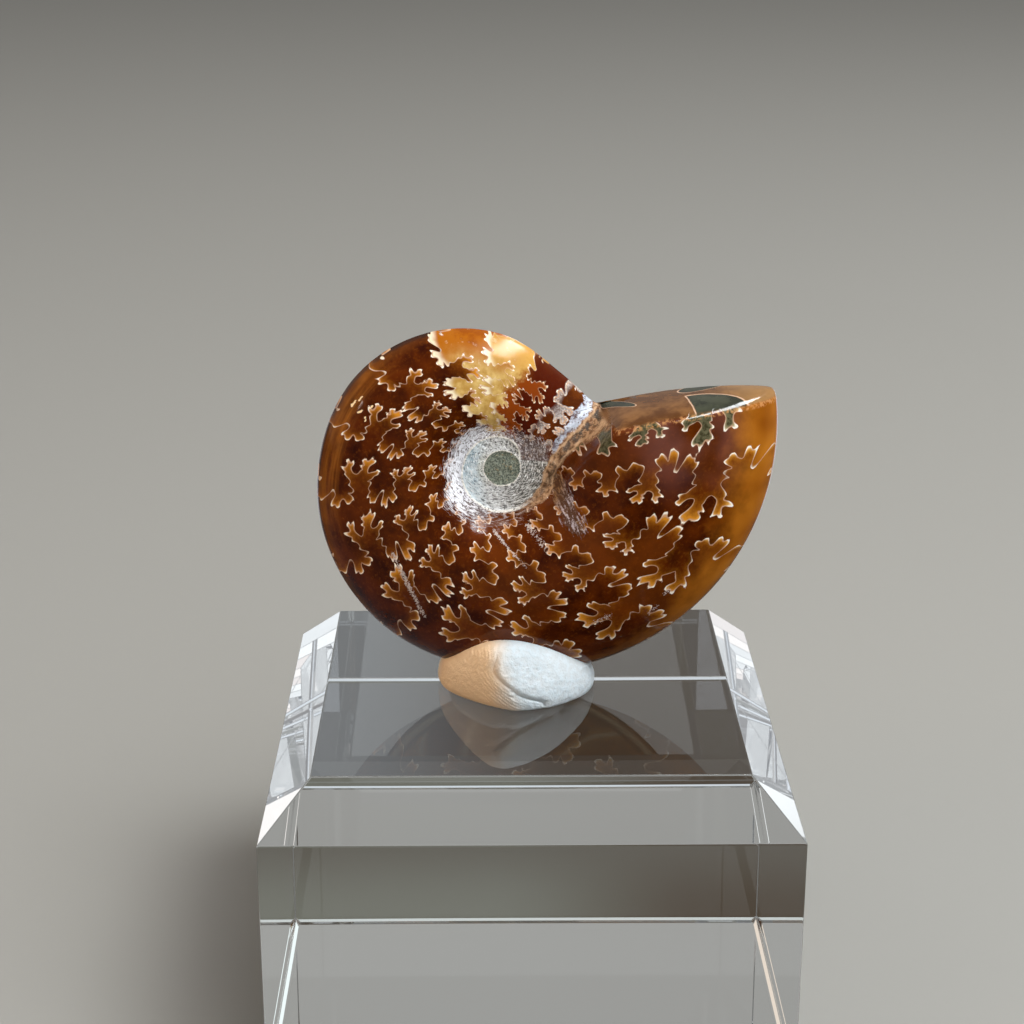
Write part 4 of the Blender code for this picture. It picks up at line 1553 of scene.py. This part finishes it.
dimple = DIMPLE_DEPTH * bumps(putty_x, putty_z + 3.0, DIMPLE_SIZE)
dimple = dimple + PIMPLE_DEPTH * bumps(putty_x, putty_z, PIMPLE_SIZE)
move = (groove + lip_bulge + wrinkle) * on_front + dimple * fade(putty_z, 0.0, 0.8)
print("marks in the putty move points by up to", round(float(np.abs(move).max()), 2), "mm")

# %% [markdown]
# The marks move each point in or out. Then the fossil presses its shape into the top: no
# point stays above the shell's underside, less a gap as thin as a hair.
# %% Skin of the putty
outwards_x, outwards_y = np.cos(putty_angle), np.sin(putty_angle)
putty_x = np.clip(putty_x + move * outwards_x, *PUTTY_ENDS)
putty_y = putty_y + move * outwards_y * fade(plan_share, 0.0, 0.5)
putty_z = np.minimum(putty_z, seat_level(putty_x, putty_y))
putty_z = np.maximum(putty_z, 0.0) + BLOCK_GAP
putty_rings = MM * np.stack((putty_x, putty_y, BLOCK_HEIGHT + putty_z), axis=-1)
putty = skin(
    "putty_lump", putty_rings[:-1],
    MM * np.array((PUTTY_CORNER_X[0], PUTTY_MIDDLE_Y, BLOCK_HEIGHT + BLOCK_GAP)),
    putty_rings[-1].mean(axis=0),
)
print("putty is", round(float(putty_z.max()), 1), "mm high")

# %% [markdown]
# Putty is matt and almost white. Fine noise in the surface's direction keeps it from looking
# like plastic, and left of the fold its front is painted a little warmer, which stands in for
# the warm light from the left window.
# %% Finish of the putty
clay = Finish("white_putty", Roughness=0.78, IOR=1.45)
clay_x, clay_y, clay_z = clay.axes()
fine = clay.noise(0.0005, 3.0, 0.6)
finer = clay.noise(0.00016, 2.0, 0.6)
broad = clay.noise(0.003, 2.0, 0.5)
clay_colour = clay.mix(clay.ramp(broad, 0.3, 0.7), shade(206, 218, 225), shade(222, 232, 238))
clay_colour = clay.mix(clay.ramp(fine, 0.62, 0.40) * 0.22, clay_colour, shade(190, 184, 178))
# Painted light: a warm tint on the front, left of the fold, for the warm light from the left.
painted_warm_light = clay.ramp(clay_x + clay_z * 0.22 + (broad - 0.5) * 0.0022, 0.0064, 0.0032)
painted_warm_light = painted_warm_light * clay.ramp(clay_y, 0.0030, -0.0015)
clay_colour = clay.mix(painted_warm_light * 0.85, clay_colour, shade(255, 212, 160))
clay_relief = clay.bump(fine, 0.00022, 0.7)
clay_relief = clay.bump(finer, 0.00007, 0.7, below=clay_relief)
clay.set({"Base Color": clay_colour, "Normal": clay_relief})
putty.data.materials.append(clay.material)
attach(putty, "root")
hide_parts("putty")
clay.tell("finished")

# %% [markdown]
# ## The acrylic block
#
# Cast acrylic, sawn square, with its four upper edges bevelled at 45 degrees and polished,
# and a narrow bevel all round its foot. It is plain clear plastic: full transmission, a
# refractive index of 1.49, and almost no colour. The whole look of such a block is what it
# bends and mirrors, so its faces have to be flat, and its edges need the hair-thin rounding
# that catches a line of light. The foot's bevel shows through the block as bright lines.
#
# Four square loops of corners, from the foot to the top, give its sixteen points. A Bevel
# modifier then rounds every edge by the same hair's breadth.
# %% Corners and faces of the block
BLOCK_HALF = 25.0
BEVEL = 4.7
FOOT_INSET, FOOT_RISE = 0.50, 0.35

block_loops = (
    (BLOCK_HALF - FOOT_INSET, 0.0), (BLOCK_HALF, FOOT_RISE),
    (BLOCK_HALF, BLOCK_HEIGHT - BEVEL), (BLOCK_HALF - BEVEL, BLOCK_HEIGHT),
)
corner_signs = np.array(((1.0, 1.0), (-1.0, 1.0), (-1.0, -1.0), (1.0, -1.0)))
block_points = [
    (half * sign_x * MM, half * sign_y * MM, level * MM)
    for half, level in block_loops
    for sign_x, sign_y in corner_signs
]
block_faces = [(3, 2, 1, 0), (12, 13, 14, 15)]
for loop_start in (0, 4, 8):
    for corner in range(4):
        following = (corner + 1) % 4
        block_faces.append((
            loop_start + corner, loop_start + following,
            loop_start + 4 + following, loop_start + 4 + corner,
        ))
print("block has", len(block_points), "corners and", len(block_faces), "faces")

# %% Polished block
EDGE_SOFTNESS = 0.14

block_mesh = bpy.data.meshes.new("acrylic_block")
block_mesh.from_pydata(block_points, [], block_faces)
block = bpy.data.objects.new("acrylic_block", block_mesh)
bpy.context.scene.collection.objects.link(block)
softening = block.modifiers.new("polished edges", "BEVEL")
softening.width = EDGE_SOFTNESS * MM
softening.segments = 3
softening.limit_method = "ANGLE"
softening.angle_limit = math.radians(20.0)
softening.harden_normals = True
block_mesh.shade_smooth()

acrylic = Finish("clear_acrylic", Roughness=0.0, IOR=1.49, Transmission_Weight=1.0)
acrylic.set({"Base Color": shade(250, 252, 252)})
block.data.materials.append(acrylic.material)
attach(block, "root")
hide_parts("block")
print("block stands", BLOCK_HEIGHT, "mm high")

# %% [markdown]
# ## Floor
#
# A plain pale floor. Light that is bent through clear plastic hardly reaches the floor in a
# render, so under the lamps alone the block would show a floor that is too dark. A Light
# Path node tells which kind of ray arrives. Seen directly, the floor is plain matt paint, so
# it keeps the object's shadow. Seen through the block or in a reflection, it glows in a
# steady colour of its own, which stands in for the light that would reach it: cooler on the
# left, and darker and warmer on the right, where it is a painted shade.
# %% Floor
FLOOR_CORNERS = ((-3.0, -2.0), (3.0, -2.0), (3.0, 4.0), (-3.0, 4.0))
FLOOR_LEVEL = -0.0001

floor_mesh = bpy.data.meshes.new("floor")
floor_mesh.from_pydata([(x, y, FLOOR_LEVEL) for x, y in FLOOR_CORNERS], [], [(0, 1, 2, 3)])
floor = bpy.data.objects.new("floor", floor_mesh)
bpy.context.scene.collection.objects.link(floor)
floor_paint = Finish("pale_floor", Base_Color=shade(158, 156, 151), Roughness=0.6)
light_path = floor_paint.tree.nodes.new("ShaderNodeLightPath")
through_block = Number(floor_paint.tree, light_path.outputs["Is Transmission Ray"])
mirrored = Number(floor_paint.tree, light_path.outputs["Is Glossy Ray"])
floor_x, floor_y = floor_paint.axes()[:2]
floor_paint.tell("kinds of ray")

# %% [markdown]
# Three stretches of floor show through the block: the one right beneath it, which its top
# face looks down on, the strip close behind it, and the open floor further back. Two pale
# patches behind it, on the left and on the right, are seen only in reflections.
# %% Colour that the block shows of the floor
# Painted shade: behind the block the floor darkens to the right, and the strip close behind it is
# darker.
painted_shade_right = floor_paint.ramp(floor_x, -0.005, 0.020)
behind_glow = floor_paint.mix(painted_shade_right, shade(112, 112, 103), shade(78, 68, 57))
close_behind = floor_paint.ramp(floor_y, 0.045, 0.026)
through_glow = floor_paint.mix(close_behind, shade(92, 87, 79), behind_glow)
# Painted shade beneath the block, darker towards the right.
painted_shade_beneath = floor_paint.ramp(floor_x, -0.022, 0.006)
beneath_glow = floor_paint.mix(painted_shade_beneath, shade(114, 117, 120), shade(64, 54, 44))
beneath = floor_paint.ramp(abs(floor_y), 0.0250, 0.0240)
through_glow = floor_paint.mix(beneath, through_glow, beneath_glow)

slant = abs(floor_x) / floor_y.at_least(0.05)
beside = floor_paint.ramp(slant, 0.20, 0.36) * floor_paint.ramp(slant, 0.95, 0.70)
beside = beside * floor_paint.ramp(floor_y, 0.08, 0.14) * mirrored
glow_colour = floor_paint.mix(beside, through_glow, shade(238, 244, 252))
floor_paint.tell("colours through the block")

# %% [markdown]
# The foot's bevel throws a thin bright line on the floor along the sides and the back of the
# block. It is drawn by the distance from that outline, and only the block shows it.
# %% Bright line round the foot
THROWN_LINE_PLACE = 0.0251
THROWN_LINE_HALF = 0.0004
THROWN_LINE_STRENGTH = 0.8

from_line = abs(abs(floor_x).at_least(floor_y) - THROWN_LINE_PLACE)
thrown_line = floor_paint.ramp(from_line, THROWN_LINE_HALF, 0.5 * THROWN_LINE_HALF) * through_block
glow_colour = floor_paint.mix(thrown_line * THROWN_LINE_STRENGTH, glow_colour, shade(236, 244, 252))
floor_paint.tell("bright line")

# %% Paint or glow, by the kind of ray
floor_glow = floor_paint.node("ShaderNodeEmission", None, {"Color": glow_colour, "Strength": 1.0})
floor_mixed = floor_paint.tree.nodes.new("ShaderNodeMixShader")
floor_paint.fill(floor_mixed.inputs[0], through_block.at_least(mirrored))
floor_paint.tree.links.new(floor_paint.shader.outputs[0], floor_mixed.inputs[1])
floor_paint.fill(floor_mixed.inputs[2], floor_glow)
floor_output = floor_paint.tree.nodes["Material Output"]
floor_paint.tree.links.new(floor_mixed.outputs[0], floor_output.inputs["Surface"])
floor.data.materials.append(floor_paint.material)
floor_paint.tell("finished")

# %% [markdown]
# ## Light
#
# A plain studio. Its world is a soft white that is brighter behind the object than in front
# of it, because the block shows what is behind it, and lamps do the rest.
# %% World
ROOM_FRONT, ROOM_BACK = 0.14, 0.36
ROOM_COLOUR = (1.0, 0.99, 0.95, 1.0)

world = bpy.data.worlds.new("studio")
world.use_nodes = True
sky = world.node_tree
background = sky.nodes["Background"]
facing = sky.nodes.new("ShaderNodeTexCoord")
split = sky.nodes.new("ShaderNodeSeparateXYZ")
sky.links.new(facing.outputs["Generated"], split.inputs[0])
room = sky.nodes.new("ShaderNodeMapRange")
sky.links.new(split.outputs["Y"], room.inputs["Value"])
room_values = {"From Min": -0.5, "From Max": 0.6, "To Min": ROOM_FRONT, "To Max": ROOM_BACK}
for socket, value in room_values.items():
    room.inputs[socket].default_value = value
sky.links.new(room.outputs[0], background.inputs["Strength"])
background.inputs["Color"].default_value = ROOM_COLOUR
bpy.context.scene.world = world
print("world brightness from", ROOM_FRONT, "in front to", ROOM_BACK, "behind")

# %% [markdown]
# Every lamp is a glowing rectangle that faces the subject. Its energy is worked out from its
# area, so that a lamp may change its size and keep its brightness. The camera sees none of
# them, and each also says which rays may see it: matt ones, which carry the plain light,
# glossy ones, which carry highlights, and those inside glass.
# %% Lamp maker
SUBJECT = (0.0, 0.0, 0.05)
COOL = (0.94, 0.98, 1.0)
WARM = (1.0, 0.70, 0.44)
PINK = (1.0, 0.92, 0.88)
WINDOW_BLUE = (0.86, 0.98, 1.0)


def soft_lamp(
    name, direction, distance, size, glow, colour,
    in_gloss=False, in_glass=False, in_matt=True, only_on=None,
):
    """A lamp facing the subject: energy is pi times its area times the glow of its face."""
    data = bpy.data.lights.new(name, "AREA")
    data.shape = "RECTANGLE"
    data.size, data.size_y = size
    data.energy = glow * math.pi * size[0] * size[1]
    data.color = colour
    lamp = bpy.data.objects.new(name, data)
    toward = Vector(direction).normalized()
    lamp.location = Vector(SUBJECT) + distance * toward
    lamp.rotation_euler = (-toward).to_track_quat("-Z", "Y").to_euler()
    lamp.visible_camera = False
    lamp.visible_diffuse = in_matt
    lamp.visible_glossy = in_gloss
    lamp.visible_transmission = in_glass
    bpy.context.scene.collection.objects.link(lamp)
    if only_on is not None:
        lit_pieces = bpy.data.collections.new(f"lit by the {name}")
        lit_pieces.objects.link(only_on)
        lamp.light_linking.receiver_collection = lit_pieces


print("lamps face the place", SUBJECT)

# %% [markdown]
# A large cool key comes from the upper right, a smaller one from above, and a warm window
# from the left. Two more lamps exist for their mirror images in the polish: a strip that
# lays a long highlight on the shell, and a slim glint on its left. The strip shines on the
# fossil alone, through light linking, because the block's flat top would mirror it as well.
# %% Lamps on the object
soft_lamp("key", (0.50, -0.45, 0.74), 0.9, (1.0, 0.8), 4.3, (0.97, 0.99, 1.0))
soft_lamp("top", (0.49, -0.06, 0.87), 0.8, (0.6, 0.3), 5.1, COOL)
soft_lamp("left window", (-0.92, -0.30, 0.10), 0.9, (0.6, 0.6), 3.0, WARM)
soft_lamp(
    "strip", (0.49, -0.07, 0.87), 0.20, (0.24, 0.05), 27.0, COOL,
    in_gloss=True, in_matt=False, only_on=fossil,
)
soft_lamp(
    "left glint", (-0.85, -0.40, 0.31), 1.0, (0.012, 0.05), 60.0, (1.0, 0.95, 0.88),
    in_gloss=True,
)
print("lamps on the object:", len(bpy.data.lights))

# %% [markdown]
# Clear plastic shows whatever stands round it, so the block has panels of its own, which
# rays inside glass can see: five high ones round about, which light matt pieces a little as
# well, and three low ones near the horizon behind it, which don't.
# %% Panels that the block shows
PANELS = (
    ("front panel", (0.02, -0.90, 0.42), 1.2, (0.5, 0.3), 0.6, COOL, True),
    ("right panel", (0.60, -0.53, 0.62), 0.9, (0.3, 0.3), 0.8, COOL, True),
    ("left panel", (-0.60, -0.53, 0.62), 0.9, (0.3, 0.3), 0.8, (1.0, 0.90, 0.86), True),
    ("back right panel", (0.55, 0.53, 0.65), 0.9, (0.22, 0.22), 0.8, PINK, True),
    ("low left panel", (-0.43, 0.86, 0.27), 1.2, (0.2, 0.2), 0.54, (1.0, 0.78, 0.60), False),
    ("low right panel", (0.43, 0.86, 0.27), 1.2, (0.2, 0.2), 0.75, WINDOW_BLUE, False),
    ("low back panel", (0.0, 0.998, 0.05), 1.2, (0.6, 0.2), 0.35, WINDOW_BLUE, False),
    ("back left panel", (-0.55, 0.53, 0.65), 0.9, (0.22, 0.22), 0.8, COOL, True),
)
for *panel, lights_matt in PANELS:
    soft_lamp(*panel, in_glass=True, in_matt=lights_matt)
print("lamps in all:", len(bpy.data.lights))

# %% [markdown]
# Light that enters the block is thrown to and fro between its faces, so rays may turn many
# more times than they would have to in a plain scene.
# %% Colours as written, and long light paths
RAY_TURNS = 48

bpy.context.scene.view_settings.view_transform = "Standard"
light_paths = bpy.context.scene.cycles
light_paths.max_bounces = RAY_TURNS
light_paths.glossy_bounces = RAY_TURNS
light_paths.transmission_bounces = RAY_TURNS
print("a ray may turn", RAY_TURNS, "times")
